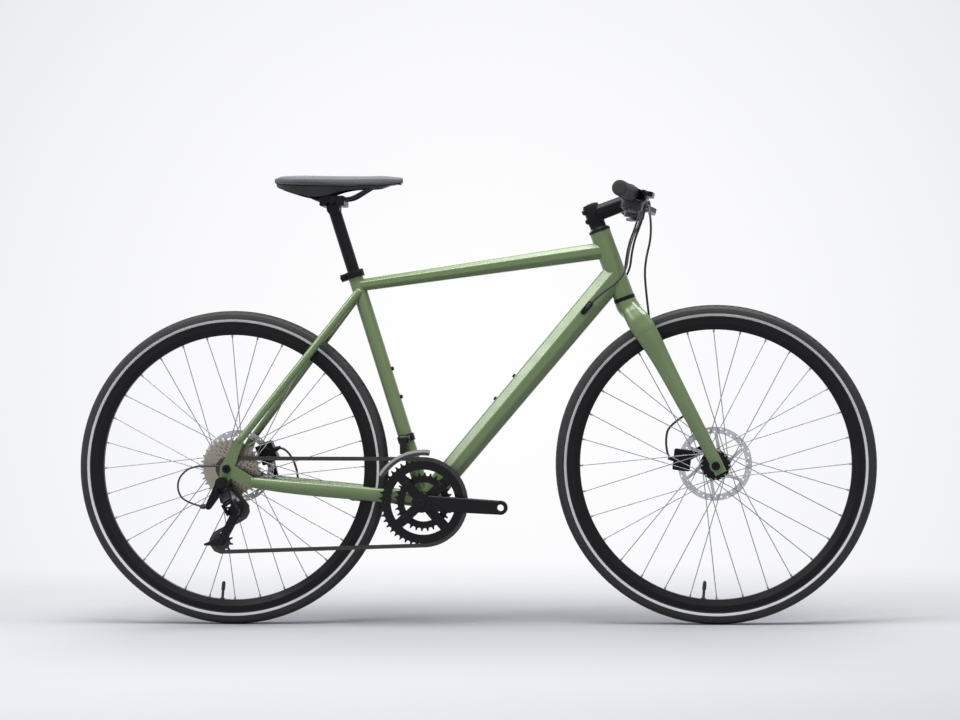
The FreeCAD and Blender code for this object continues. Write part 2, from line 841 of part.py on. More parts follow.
cup_bore = "steerer_radius + running_gap"
lower_cup = lathe("lower_cup", (
    (cup_bore, "running_gap"), ("headset_radius", "running_gap"), ("headset_radius", "headset_lower"),
    ("head_tube_bore - shaft_gap", "headset_lower"), ("head_tube_bore - shaft_gap", "headset_lower * 2"),
    (cup_bore, "headset_lower * 2")), crown_seat, steer_up)
upper_cup = lathe("upper_cup", (
    (cup_bore, "-headset_lower"), ("head_tube_bore - shaft_gap", "-headset_lower"),
    ("head_tube_bore - shaft_gap", "0"), ("headset_radius", "0"), ("headset_radius", "headset_upper / 2"),
    ("spacer_radius + running_gap", "headset_upper"), (cup_bore, "headset_upper")), head_top, steer_up)
bearing_cups = [lower_cup, upper_cup]

steerer_top = stem_top - steer_up * size.running_gap
steerer_bore = Part.makeCylinder(size.steerer_radius - size.steerer_wall, size.fork_length,
                                 crown_seat, steer_up)
crown_block = Part.makeCone(size.crown_foot_radius, size.crown_radius, size.crown_depth,
                            crown_seat - steer_up * size.crown_depth, steer_up)
crown_block = crown_block.makeFillet(size.crown_rounding, [
    edge for edge in crown_block.Edges
    if isinstance(edge.Curve, Part.Circle) and edge.Curve.Radius > size.crown_radius + size.running_gap])
fork_crown_shape = fused([crown_block, rod(crown_seat - steer_up * size.cut_overrun, steerer_top,
                                           size.steerer_radius)]).cut(steerer_bore)
keep("fork_crown", feature("fork_crown", fork_crown_shape))

leg_end_spread = size.front_spacing / 2 + size.leg_end_width / 2 + size.leg_end_gap
leg_reach = (crown_seat - steer_foot).Length + size.leg_end_below
# Down a fork leg: shares of its reach below the crown seat, of its forward offset and of its spread at the
# tip, and shares of the way from its top section to its tip section.
LEG_SHARES = ((0.055, 0.06, 0.2, 0.75), (0.12, 0.18, 0.475, 0.12), (0.18, 0.27, 0.58, 0.04),
              (0.29, 0.4, 0.635, 0.3), (0.48, 0.57, 0.72, 0.62), (0.72, 0.78, 0.85, 0.82), (1.0, 1.0, 1.0, 1.0))
# Part of the reach over which a leg is hollow.
LEG_HOLLOW_SHARES = (0.16, 0.74)


def leg_center(side, reach_share, offset_share, spread_share):
    offset = offset_share * (size.fork_offset + size.leg_end_offset)
    return (crown_seat - steer_up * (reach_share * leg_reach) + steer_front * offset
            + side * (spread_share * leg_end_spread))


def leg_stations(side):
    """Fork leg from inside the crown to below the axle."""
    stations = []
    for reach_share, offset_share, spread_share, taper in LEG_SHARES:
        center = leg_center(side, reach_share, offset_share, spread_share)
        width = size.leg_top_width + (size.leg_end_width - size.leg_top_width) * taper
        depth = size.leg_top_depth + (size.leg_end_depth - size.leg_top_depth) * taper
        stations.append((center, width / 2, depth / 2))
    return stations


leg_blocks = {}
leg_shapes = []
for name, side in (("right", RIGHT), ("left", LEFT)):
    stations = leg_stations(side)
    boss_outer = front_axle + side * (leg_end_spread + size.leg_end_width / 2)
    boss = rod(front_axle + side * (size.front_spacing / 2), boss_outer, size.leg_boss_radius)
    half_space = brick(front_axle + side * size.front_spacing * 2, FORWARD, LEFT,
                       (size.wheel_base, size.front_spacing * 4, size.tyre_radius * 3))
    leg_blocks[name] = oval_solid(stations).common(half_space)
    hollow_middle = crown_seat - steer_up * (sum(LEG_HOLLOW_SHARES) / 2 * leg_reach)
    hollow_run = (LEG_HOLLOW_SHARES[1] - LEG_HOLLOW_SHARES[0]) * leg_reach
    hollow = oval_solid(stations, size.leg_wall).common(brick(
        hollow_middle, steer_up, LEFT, (hollow_run, size.front_spacing * 4, size.fork_length)))
    shaft = disc(front_axle, size.axle_radius + size.shaft_gap, size.front_spacing * 2)
    leg = leg_blocks[name].cut([hollow, crown_block]).fuse(boss).cut([shaft, steerer_bore])
    leg_shapes.append(max(leg.Solids, key=lambda solid: solid.Volume))
keep("fork_legs", feature("fork_legs", Part.makeCompound(leg_shapes)))

spacer = lathe("spacer", (
    ("steerer_radius + shaft_gap", "0"), ("spacer_radius", "0"), ("spacer_radius", "spacer_height"),
    ("steerer_radius + shaft_gap", "spacer_height")), spacer_low, steer_up)
top_cap = lathe("top_cap", (
    ("0", "0"), ("top_cap_radius", "0"), ("top_cap_radius", "top_cap_height / 2"),
    ("top_bolt_radius * 2", "top_cap_height"), ("top_bolt_radius", "top_cap_height"),
    ("top_bolt_radius", "top_cap_height / 2"), ("0", "top_cap_height / 2")), stem_top, steer_up)
doc.recompute()
keep("headset_spacers", feature("headset_spacers", Part.makeCompound([spacer.Shape, top_cap.Shape])))

stem_cross = stem_along.cross(LEFT)
stem_clamp = Part.makeCylinder(size.stem_clamp_radius, size.stem_height, stem_low, steer_up)
stem_body = tube_solid(((stem_middle, size.stem_body_width / 2, size.stem_body_height / 2),
                        (bar_middle, size.stem_body_width / 2, size.stem_body_height / 2)),
                       OVAL_SHARES, OVAL_CORNER_SHARE, True)
face_radius = size.bar_clamp_radius + size.stem_face_wall
face_ring = disc(bar_middle, face_radius, size.stem_face_width)
bar_seat = disc(bar_middle, size.bar_clamp_radius + size.shaft_gap, size.bar_width)
split_depth = size.stem_length
split_block = brick(bar_middle + stem_along * (split_depth / 2 - size.stem_face_gap / 2), stem_along, LEFT,
                    (split_depth, size.stem_face_width * 2, face_radius * 4))
face_block = brick(bar_middle + stem_along * (split_depth / 2 + size.stem_face_gap / 2), stem_along, LEFT,
                   (split_depth, size.stem_face_width * 2, face_radius * 4))
steerer_seat = Part.makeCylinder(size.steerer_radius + size.shaft_gap, size.stem_height * 2,
                                 stem_low - steer_up * (size.stem_height / 2), steer_up)
keep("stem", feature("stem", fused([stem_clamp, stem_body.fuse(face_ring).cut(split_block)])
                     .cut([steerer_seat, bar_seat])))

face_bolts = []
for across in (-1, 1):
    for rise in (-1, 1):
        bolt_at = (bar_middle + LEFT * (across * size.stem_bolt_spread)
                   + stem_cross * (rise * (size.bar_clamp_radius + size.stem_face_wall / 2)))
        face_bolts.append(Part.makeCylinder(size.stem_bolt_radius, size.stem_bolt_height * 2,
                                            bolt_at + stem_along * size.stem_face_gap, stem_along))
face_plate = face_ring.common(face_block).cut([bar_seat] + face_bolts)
keep("stem_faceplate", feature("stem_faceplate", Part.makeCompound([face_plate] + [
    bolt.cut(bar_seat) for bolt in face_bolts])))


# Handlebar and grips

sweep_out = Vector(-math.sin(math.radians(size.bar_sweep)), -math.cos(math.radians(size.bar_sweep)), 0)
bend_turn = size.bar_bend_radius * math.tan(math.radians(size.bar_sweep) / 2)
bend_corner = bar_middle + RIGHT * size.bar_bend_start
swept_length = (size.bar_width / 2 - size.bar_bend_start) / math.cos(math.radians(size.bar_sweep))
bar_end = bend_corner + sweep_out * swept_length


def bar_half(radius):
    """Right half of the handlebar as a solid of one radius, through its bend."""
    bend_in = bend_corner - RIGHT * bend_turn
    bend_out = bend_corner + sweep_out * bend_turn
    center = bend_in - FORWARD * size.bar_bend_radius
    middle = center + ((bend_in - center) + (bend_out - center)).normalize() * size.bar_bend_radius
    route = Part.Wire([Part.LineSegment(bar_middle, bend_in).toShape(),
                       Part.Arc(bend_in, middle, bend_out).toShape(),
                       Part.LineSegment(bend_out, bar_end).toShape()])
    ring = Part.Wire([Part.makeCircle(radius, bar_middle, RIGHT)])
    return route.makePipeShell([ring], True, False)


clamp_half = size.bar_clamp_width / 2
swell = fused([Part.makeCylinder(size.bar_clamp_radius, clamp_half, bar_middle, RIGHT),
               Part.makeCone(size.bar_clamp_radius, size.bar_radius, size.bar_taper,
                             bar_middle + RIGHT * clamp_half, RIGHT)])
bar_solid = bar_half(size.bar_radius).fuse(swell).cut(bar_half(size.bar_radius - size.bar_wall))
bar_other = bar_solid.mirror(ORIGIN, LEFT)
keep("handlebar", feature("handlebar", bar_solid.fuse(bar_other).removeSplitter()))

grip_right = lathe("grip_right", (
    ("0", "-grip_end_wall"), ("grip_radius - grip_flange_width / 2", "-grip_end_wall"),
    ("grip_radius", "-grip_end_wall / 2"), ("grip_radius", "grip_length - grip_flange_width * 2"),
    ("grip_flange_radius", "grip_length - grip_flange_width"), ("grip_flange_radius", "grip_length"),
    ("bar_radius + shaft_gap", "grip_length"), ("bar_radius + shaft_gap", "shaft_gap"),
    ("0", "shaft_gap")), bar_end + sweep_out * size.shaft_gap, -sweep_out)
grip_left = mirrored("grip_left", grip_right)
doc.recompute()
keep("grips", feature("grips", Part.makeCompound([grip_right.Shape, grip_left.Shape])))


# Brake levers and shifters: built on the right in a frame along the bar, then mirrored

lever_tilt = math.radians(size.lever_tilt)
flat_front = Vector(math.cos(math.radians(size.bar_sweep)), -math.sin(math.radians(size.bar_sweep)), 0)
lever_front = flat_front * math.cos(lever_tilt) - UP * math.sin(lever_tilt)
lever_up = sweep_out.cross(lever_front)
lever_middle = (bar_end - sweep_out * (size.grip_length + size.lever_clamp_gap
                                       + size.lever_clamp_width / 2))
lever_frame = Placement(lever_middle, Rotation(sweep_out, lever_front, lever_up, "ZXY"))


def on_bar(shape):
    """A shape drawn as x outward along the bar, y to the lever and z up, moved to its place."""
    moved = shape.copy()
    moved.Placement = lever_frame.multiply(moved.Placement)
    return moved


bar_hole = disc(ORIGIN, size.bar_radius + size.shaft_gap, size.bar_width, FORWARD)
pivot = Vector(size.lever_clamp_width / 2, size.lever_reach, 0)
body_line = Vector(0, size.lever_reach - size.lever_body_radius / 2, 0)
lever_clamp = disc(ORIGIN, size.lever_clamp_radius, size.lever_clamp_width, FORWARD)
lever_neck = brick(Vector(0, size.lever_reach / 2, 0), FORWARD, LEFT,
                   (size.lever_clamp_width, size.lever_reach, size.lever_blade_height
                    + size.lever_ear_height))
lever_cylinder = rod(body_line + FORWARD * (size.lever_clamp_width / 2),
                     body_line - FORWARD * size.lever_body_length, size.lever_body_radius)
lever_cap = Part.makeSphere(size.lever_body_radius, body_line - FORWARD * size.lever_body_length)
ear_depth = size.lever_blade_height + 2 * (size.running_gap + size.lever_ear_height)
lever_ears = bar_plate(pivot, size.lever_blade_root, body_line, size.lever_body_radius, ear_depth, UP)
blade_slot = disc(pivot, size.lever_blade_root + size.lever_clamp_width, size.lever_blade_height
                  + 2 * size.running_gap, UP)
lever_pin = disc(pivot, size.lever_pivot_radius, ear_depth, UP)
slot_reach = brick(pivot + FORWARD * size.lever_blade_length / 2, FORWARD, LEFT,
                   (size.lever_blade_length + 2 * size.lever_blade_root, 2 * size.lever_blade_root
                    + size.lever_blade_bow, size.lever_blade_height + 2 * size.running_gap))
lever_body_shape = fused([lever_clamp, lever_neck, lever_cylinder, lever_cap, lever_ears])
lever_body_shape = lever_body_shape.cut([bar_hole, slot_reach]).fuse(lever_pin).removeSplitter()
lever_body_right = feature("lever_body_right", on_bar(lever_body_shape))
lever_body_left = mirrored("lever_body_left", lever_body_right)
doc.recompute()
keep("brake_lever_bodies", feature("brake_lever_bodies", Part.makeCompound(
    [lever_body_right.Shape, lever_body_left.Shape])))

# Shares of the brake lever: how far along the blade its knee is, and how far forward its tip.
BLADE_BOW_SHARE = 0.45
BLADE_TIP_SHARE = 1.1
blade_knee = pivot + Vector(size.lever_blade_length * BLADE_BOW_SHARE, size.lever_blade_bow, 0)
blade_tip = pivot + Vector(size.lever_blade_length, size.lever_blade_bow * BLADE_TIP_SHARE, 0)
blade_shape = fused([
    bar_plate(pivot, size.lever_blade_root, blade_knee, size.lever_blade_waist, size.lever_blade_height, UP),
    bar_plate(blade_knee, size.lever_blade_waist, blade_tip, size.lever_blade_tip, size.lever_blade_height,
              UP)])
blade_shape = blade_shape.cut(disc(pivot, size.lever_pivot_radius + size.shaft_gap, ear_depth, UP))
brake_lever_right = keep("brake_lever_right", feature("brake_lever_right", on_bar(blade_shape)))
keep("brake_lever_left", mirrored("brake_lever_left", brake_lever_right))

pod_at = Vector(-(size.lever_clamp_width + size.shifter_pod_width) / 2 - size.lever_clamp_gap * 2,
                size.shifter_pod_depth / 8, -size.shifter_pod_drop)
pod_block = brick(pod_at, FORWARD, LEFT,
                  (size.shifter_pod_width, size.shifter_pod_depth, size.shifter_pod_height))
pod_edges = [edge for edge in pod_block.Edges if abs(edge.tangentAt(edge.FirstParameter).z) > 0.5]
pod_block = pod_block.makeFillet(size.shifter_pod_rounding, pod_edges)
pod_clamp_at = Vector(pod_at.x, 0, 0)
pod_clamp = disc(pod_clamp_at, size.shifter_clamp_radius, size.shifter_clamp_width, FORWARD)
pod_neck = brick(pod_clamp_at - UP * (size.shifter_clamp_radius / 2), FORWARD, LEFT,
                 (size.shifter_clamp_width, size.shifter_clamp_radius, size.shifter_clamp_radius))
pod_gap_room = rod(body_line + FORWARD * size.lever_clamp_width, body_line
                   - FORWARD * (size.lever_body_length + size.lever_body_radius),
                   size.lever_body_radius + size.running_gap)
shift_pivot = pod_at + Vector(0, size.shifter_pod_depth / 8, -size.shifter_pod_height / 2)
shift_pin = Part.makeCylinder(size.lever_pivot_radius, size.shift_lever_height + size.running_gap,
                              shift_pivot, -UP)
pod_shape = fused([pod_block, pod_clamp, pod_neck, shift_pin]).cut([bar_hole, pod_gap_room])
shifter_pod_right = feature("shifter_pod_right", on_bar(pod_shape))
shifter_pod_left = mirrored("shifter_pod_left", shifter_pod_right)
doc.recompute()
keep("shifter_pods", feature("shifter_pods", Part.makeCompound(
    [shifter_pod_right.Shape, shifter_pod_left.Shape])))

thumb_middle = shift_pivot - UP * (size.running_gap + size.shift_lever_height / 2)
thumb_tip = thumb_middle + Vector(size.shift_lever_length, -size.shifter_pod_depth / 4, 0)
thumb = bar_plate(thumb_middle, size.shift_lever_root, thumb_tip, size.shift_lever_tip,
                  size.shift_lever_height, UP)
thumb = thumb.cut(disc(thumb_middle, size.lever_pivot_radius + size.shaft_gap,
                       size.shift_lever_height * 2, UP))
shift_lever_right = keep("shift_lever_right", feature("shift_lever_right", on_bar(thumb)))
keep("shift_lever_left", mirrored("shift_lever_left", shift_lever_right))


# Wheels

nipple_foot = size.bed_radius - size.nipple_length
nipple_seat = size.bed_radius + size.bed_wall


def rim_drills(axle):
    """Nipple holes through the bed, access holes through the floor, and the valve hole."""
    drills = []
    for number in range(int(size.spoke_count)):
        out = polar(number * 360 / size.spoke_count, 1)
        drills.append(rod(axle + out * (nipple_foot - size.cut_overrun), axle + out * nipple_seat,
                          size.nipple_radius + size.shaft_gap))
        drills.append(rod(axle + out * size.shoulder_radius, axle + out * size.rim_radius,
                          size.nipple_access_radius))
    out = polar(size.valve_angle, 1)
    drills.append(rod(axle + out * (nipple_foot - size.cut_overrun), axle + out * size.rim_radius,
                      size.valve_radius + size.shaft_gap))
    return Part.makeCompound(drills)


def spoke_set(axle, flange_right, flange_left):
    """Crossed spokes with their elbows and heads, and the nipples at the rim."""
    pieces = []
    half = int(size.spoke_count) // 2
    step = 360 / half
    face = size.flange_thickness / 2
    exit_run = math.sqrt(size.flange_radius ** 2 - size.spoke_circle ** 2)
    for side, flange, start in ((RIGHT, flange_right, 0), (LEFT, flange_left, step / 2)):
        lean = exit_run * flange / (nipple_foot - size.spoke_circle)
        for number in range(half):
            outward = 1 if number % 2 else -1
            hole_angle = start + number * step
            rim_angle = hole_angle + outward * size.spoke_crosses * step
            stand_off = face + size.spoke_radius + (lean if outward > 0 else 0) + size.shaft_gap
            hole = axle + polar(hole_angle, size.spoke_circle) + side * flange
            bend = hole + side * (outward * stand_off)
            head = hole - side * (outward * (face + size.shaft_gap))
            far = axle + polar(rim_angle, nipple_foot)
            knob = rod(head, head - side * (outward * size.spoke_head_height), size.spoke_head_radius)
            pieces.append(rod(bend, far, size.spoke_radius).fuse(
                [rod(bend, head, size.spoke_radius), knob]))
            out = polar(rim_angle, 1)
            pieces.append(rod(axle + out * nipple_foot, axle + out * nipple_seat, size.nipple_radius).fuse(
                rod(axle + out * nipple_seat, axle + out * (nipple_seat + size.nipple_head_height),
                    size.nipple_head_radius)))
    return Part.makeCompound(pieces)


def spoke_drills(axle, flange_right, flange_left):
    half = int(size.spoke_count) // 2
    step = 360 / half
    drills = []
    for side, flange, start in ((RIGHT, flange_right, 0), (LEFT, flange_left, step / 2)):
        for number in range(half):
            hole = axle + polar(start + number * step, size.spoke_circle) + side * flange
            drills.append(disc(hole, size.spoke_radius + size.shaft_gap, size.flange_thickness * 2))
    return Part.makeCompound(drills)


def rotor_shape(center):
    """Brake rotor: drilled track, swept arms, bolted carrier."""
    depth = size.rotor_thickness
    track_inner = size.rotor_radius - size.rotor_track
    pieces = [disc(center, size.rotor_radius, depth).cut(disc(center, track_inner, depth * 2)),
              disc(center, size.rotor_carrier_radius, depth)]
    for number in range(int(size.rotor_arms)):
        angle = number * 360 / size.rotor_arms
        pieces.append(bar_plate(
            center + polar(angle, size.rotor_bolt_circle), size.rotor_arm_radius,
            center + polar(angle + size.rotor_arm_sweep, track_inner + size.rotor_arm_radius),
            size.rotor_arm_radius, depth))
    drills = [disc(center, size.hub_spigot_radius + size.shaft_gap, depth * 2)]
    for number in range(int(size.rotor_holes)):
        row = track_inner + size.rotor_track * (1 + number % 3) / 4
        drills.append(disc(center + polar(number * 360 / size.rotor_holes, row), size.rotor_hole_radius,
                           depth * 2))
    rotor = fused(pieces).cut(drills)
    bolts = [Part.makeCylinder(size.rotor_bolt_radius, size.rotor_bolt_height,
                               center + polar(number * 360 / size.rotor_arms, size.rotor_bolt_circle)
                               + LEFT * (depth / 2), LEFT) for number in range(int(size.rotor_arms))]
    return Part.makeCompound([rotor] + bolts)


def wheel(end, axle, right_reach):
    """One wheel: tyre with tube, drilled rim, spokes, hub and rotor; right_reach is the hub's right end."""
    spacing = f"{end}_spacing"
    flange_right = f"{end}_flange_right"
    flange_left = f"{end}_flange_left"
    centre_radius = "tyre_radius - tyre_width / 2"
    wide = "rim_width * 2"
    tyre = subtract(
        f"{end}_tyre",
        torus(f"{end}_tyre_outside", centre_radius, "tyre_width / 2", axle, LEFT),
        torus(f"{end}_tyre_inside", centre_radius, "tyre_width / 2 - tyre_wall", axle, LEFT),
        cylinder(f"{end}_tyre_opening", "rim_radius + shaft_gap", wide, axle + RIGHT * size.rim_width, LEFT))
    tube = subtract(
        f"{end}_tube",
        torus(f"{end}_tube_outside", centre_radius, "tyre_width / 2 - tyre_wall - shaft_gap", axle, LEFT),
        torus(f"{end}_tube_inside", centre_radius, "tyre_width / 2 - tyre_wall - tube_wall", axle, LEFT))
    doc.recompute()
    out = polar(size.valve_angle, 1)
    tube_inner = size.tyre_radius - size.tyre_width + size.tyre_wall + size.tube_wall / 2
    valve = rod(axle + out * (size.bed_radius - size.valve_length), axle + out * tube_inner,
                size.valve_radius)
    valve_bore = rod(axle + out * (size.bed_radius - size.valve_length - size.cut_overrun),
                     axle + out * (tube_inner + size.cut_overrun), size.valve_bore)
    keep(f"{end}_tyre", feature(f"{end}_tyre", Part.makeCompound([
        tyre.Shape, tube.Shape.fuse(valve).cut(valve_bore).removeSplitter()])))

    rim_base = axle + RIGHT * (size.rim_width / 2)
    rim_outside = lathe(f"{end}_rim_outside", (
        ("rim_radius", "0"), ("rim_radius", "rim_hook"), ("bead_radius", "rim_hook"),
        ("bead_radius", "(rim_width - well_width) / 2"), ("well_radius", "(rim_width - well_width) / 2"),
        ("well_radius", "(rim_width + well_width) / 2"), ("bead_radius", "(rim_width + well_width) / 2"),
        ("bead_radius", "rim_width - rim_hook"), ("rim_radius", "rim_width - rim_hook"),
        ("rim_radius", "rim_width"), ("shoulder_radius", "rim_width"),
        ("bed_radius", "(rim_width + bed_width) / 2"), ("bed_radius", "(rim_width - bed_width) / 2"),
        ("shoulder_radius", "0")), rim_base, LEFT)
    chamber = lathe(f"{end}_rim_chamber", (
        ("well_radius - rim_wall", "rim_wall"), ("well_radius - rim_wall", "rim_width - rim_wall"),
        ("shoulder_radius", "rim_width - rim_wall"),
        ("bed_radius + bed_wall", "(rim_width + bed_width) / 2 - rim_wall"),
        ("bed_radius + bed_wall", "(rim_width - bed_width) / 2 + rim_wall"),
        ("shoulder_radius", "rim_wall")), rim_base, LEFT)
    drills = feature(f"{end}_rim_drills", rim_drills(axle))
    keep(f"{end}_rim", subtract(f"{end}_rim", rim_outside, chamber, drills))

    right_size = getattr(size, flange_right)
    left_size = getattr(size, flange_left)
    keep(f"{end}_spokes", feature(f"{end}_spokes", spoke_set(axle, right_size, left_size)))

    bore = "axle_radius + shaft_gap"
    rotor_plane = f"{spacing} / 2 - rotor_inset"
    left_end = f"{spacing} / 2 - running_gap"
    inside = "flange_thickness * 1.5"
    corners = [(bore, f"-({right_reach})")]
    if end == "front":
        corners.append(("hub_cap_radius", f"-({right_reach})"))
        corners.append(("hub_cap_radius", f"-{flange_right} - {inside}"))
        corners.append(("flange_land", f"-{flange_right} - flange_thickness / 2"))
    corners += [
        ("flange_radius", f"-{flange_right} - flange_thickness / 2"),
        ("flange_radius", f"-{flange_right} + flange_thickness / 2"),
        ("flange_land", f"-{flange_right} + flange_thickness / 2"),
        ("hub_shell_radius", f"-{flange_right} + {inside}"),
        ("hub_shell_radius", f"{flange_left} - {inside}"),
        ("flange_land", f"{flange_left} - flange_thickness / 2"),
        ("flange_radius", f"{flange_left} - flange_thickness / 2"),
        ("flange_radius", f"{flange_left} + flange_thickness / 2"),
        ("hub_boss_radius", f"{flange_left} + flange_thickness / 2"),
        ("hub_boss_radius", f"{rotor_plane} - rotor_thickness / 2"),
        ("hub_spigot_radius", f"{rotor_plane} - rotor_thickness / 2"),
        ("hub_spigot_radius", f"{rotor_plane} + rotor_thickness / 2"),
        ("hub_cap_radius", f"{rotor_plane} + rotor_thickness"),
        ("hub_cap_radius", left_end), (bore, left_end)]
    shell = lathe(f"{end}_hub_shell", corners, axle, LEFT)
    holes = feature(f"{end}_hub_drills", spoke_drills(axle, right_size, left_size))
    keep(f"{end}_hub", subtract(f"{end}_hub", shell, holes))

    rotor_center = axle + LEFT * (getattr(size, spacing) / 2 - size.rotor_inset)
    keep(f"{end}_rotor", feature(f"{end}_rotor", rotor_shape(rotor_center)))
    return rotor_center


front_rotor_center = wheel("front", front_axle, "front_spacing / 2 - running_gap")
rear_rotor_center = wheel("rear", rear_axle, "rear_flange_right + flange_thickness / 2")

front_axle_half = size.front_spacing / 2 + size.leg_end_width + size.leg_end_gap
front_axle_length = "front_spacing + 2 * (leg_end_width + leg_end_gap)"
rear_axle_length = "rear_spacing + 2 * dropout_thickness"
for end, axle, length, half in (
        ("front", front_axle, front_axle_length, front_axle_half),
        ("rear", rear_axle, rear_axle_length, size.rear_spacing / 2 + size.dropout_thickness)):
    corners = [("0", "0"), ("axle_socket_radius", "0"), ("axle_socket_radius", "-axle_head_height"),
               ("axle_head_radius", "-axle_head_height"), ("axle_head_radius", "-shaft_gap"),
               ("axle_radius", "-shaft_gap")]
    if end == "rear":
        corners += [("axle_radius", "dropout_thickness + shaft_gap"),
                    ("axle_head_radius", "dropout_thickness + shaft_gap"),
                    ("axle_head_radius", "dropout_thickness + cog_inset - lockring_height - running_gap * 4"),
                    ("axle_radius", "dropout_thickness + cog_inset - lockring_height - running_gap * 4")]
    corners += [("axle_radius", f"{length} + shaft_gap"), ("axle_head_radius", f"{length} + shaft_gap"),
                ("axle_head_radius", f"{length} + axle_head_height"), ("0", f"{length} + axle_head_height")]
    keep(f"{end}_axle", lathe(f"{end}_axle", corners, axle + RIGHT * half, LEFT))


# Where the front caliper's foot meets its leg, as shares of the reach, offset and spread.
LEG_FOOT_SHARES = (0.86, 0.89, 0.92)


# Brake calipers: drawn round the rotor's centre with the caliper on the forward side, then turned

def caliper_shape(center, angle):
    """Two-sided caliper over the rotor's edge, with its pads."""
    reach = size.caliper_outer_radius - size.caliper_inner_radius
    depth = size.caliper_inner_depth + size.caliper_outer_depth
    body = Part.makeBox(reach, depth, size.caliper_length,
                        Vector(size.caliper_inner_radius, -size.caliper_inner_depth, -size.caliper_length / 2))
    body = body.makeFillet(size.caliper_rounding, [edge for edge in body.Edges
                                                   if abs(edge.tangentAt(edge.FirstParameter).y) > 0.5])
    slot_depth = size.rotor_radius + size.caliper_roof / 2
    slot = Part.makeBox(slot_depth, size.caliper_slot, size.caliper_length * 2,
                        Vector(0, -size.caliper_slot / 2, -size.caliper_length))
    shapes = [body.cut(slot)]
    inner = size.rotor_thickness / 2 + size.pad_gap
    thick = size.caliper_slot / 2 - inner
    pad_low = size.rotor_radius - size.pad_height
    for start in (inner, -size.caliper_slot / 2):
        shapes.append(Part.makeBox(size.pad_height, thick, size.pad_length,
                                   Vector(pad_low, start, -size.pad_length / 2)))
    caliper = Part.makeCompound(shapes)
    caliper.Placement = Placement(center, Rotation(LEFT, -angle))
    return caliper


def caliper_with_foot(center, angle, foot, carrier):
    """The caliper joined to the tube that carries it by a foot on its outer half."""
    caliper = caliper_shape(center, angle)
    middle_radius = (size.caliper_inner_radius + size.caliper_outer_radius) / 2
    out = LEFT * (size.caliper_outer_depth - size.caliper_foot / 2)
    root = center + polar(angle, middle_radius) + out
    arm = bar_plate(root, size.caliper_foot, Vector(foot.x, root.y, foot.z), size.caliper_foot,
                    size.caliper_foot)
    body = caliper.Solids[0].fuse(arm).cut(carrier).removeSplitter()
    main = max(body.Solids, key=lambda solid: solid.Volume)
    return Part.makeCompound([main] + caliper.Solids[1:])


front_foot = leg_center(LEFT, *LEG_FOOT_SHARES)
keep("front_brake_caliper", feature("front_brake_caliper", caliper_with_foot(
    front_rotor_center, size.front_caliper_angle, front_foot, leg_blocks["left"])))
rear_foot = chainstay_stations(LEFT)[3][0] + (chainstay_stations(LEFT)[2][0]
                                              - chainstay_stations(LEFT)[3][0]) * 0.2
keep("rear_brake_caliper", feature("rear_brake_caliper", caliper_with_foot(
    rear_rotor_center, size.rear_caliper_angle, rear_foot,
    chainstay_blocks["left"].fuse(dropout_blocks["left"]))))


# Sprockets

def pitch_radius(teeth):
    return size.chain_pitch / (2 * math.sin(math.pi / teeth))


def sprocket(center, teeth, depth, phase):
    """Toothed disc: a valley for each roller and a rounded point between the valleys."""
    pitch = pitch_radius(teeth)
    valley = size.roller_radius + size.tooth_relief
    step = 360 / teeth
    edges = []
    for number in range(int(teeth)):
        angle = phase + number * step
        roller = center + polar(angle, pitch)
        inward = polar(angle, 1)
        along = polar(angle + 90, 1)
        left_lip = roller - along * valley
        floor = roller - inward * valley
        right_lip = roller + along * valley
        edges.append(Part.Arc(left_lip, floor, right_lip).toShape())
        tip = center + polar(angle + step / 2, pitch + size.tooth_height)
        tip_half = polar(angle + step / 2 + 90, 1) * (size.tooth_relief * 2)
        following = center + polar(angle + step, pitch) - polar(angle + step + 90, 1) * valley
        edges.append(Part.LineSegment(right_lip, tip - tip_half).toShape())
        edges.append(Part.LineSegment(tip - tip_half, tip + tip_half).toShape())
        edges.append(Part.LineSegment(tip + tip_half, following).toShape())
    face = Part.Face(Part.Wire(edges))
    face.translate(LEFT * (-depth / 2))
    return face.extrude(LEFT * depth)


# Chain route: circles taken in order, each with its turning sense seen from the right (1 is clockwise)

cog_line = size.rear_spacing / 2 - size.cog_inset
guide_center = rear_axle + Vector(size.guide_forward, 0, -size.guide_drop)


def tangent(first, first_teeth, first_turn, second, second_teeth, second_turn):
    """Ends of the chain's straight run from one sprocket to the next."""
    run = second - first
    heading = math.atan2(run.z, run.x)
    swing = first_turn * pitch_radius(first_teeth) - second_turn * pitch_radius(second_teeth)
    lean = math.asin(swing / run.Length)
    normal = math.degrees(heading - lean) + 90
    start = first + polar(normal, first_turn * pitch_radius(first_teeth))
    end = second + polar(normal, second_turn * pitch_radius(second_teeth))
    return start, end


def chain_route(cage_angle):
    """Sprockets of the chain's loop with the cage at an angle."""
    tension = guide_center + polar(cage_angle, size.cage_length)
    return ((rear_axle, COG_TEETH[0], 1, cog_line), (bracket, size.big_ring_teeth, 1, size.big_ring_line),
            (tension, size.pulley_teeth, 1, cog_line), (guide_center, size.pulley_teeth, -1, cog_line))


def chain_runs(cage_angle):
    """Runs and wraps of the loop, in pitches: (pitches, start point or angle, end, sprocket)."""
    stops = chain_route(cage_angle)
    count = len(stops)
    lines = [tangent(*stops[index][:3], *stops[(index + 1) % count][:3]) for index in range(count)]
    runs = []
    for index in range(count):
        start, end = lines[index]
        runs.append(((end - start).Length / size.chain_pitch, start, end, None))
        center, teeth, turn, line = stops[(index + 1) % count]
        following = lines[(index + 1) % count][0]
        arrive = math.degrees(math.atan2(end.z - center.z, end.x - center.x))
        leave = math.degrees(math.atan2(following.z - center.z, following.x - center.x))
        swept = (arrive - leave) * turn % 360
        runs.append((swept * teeth / 360, arrive, -turn * swept, stops[(index + 1) % count]))
    return runs


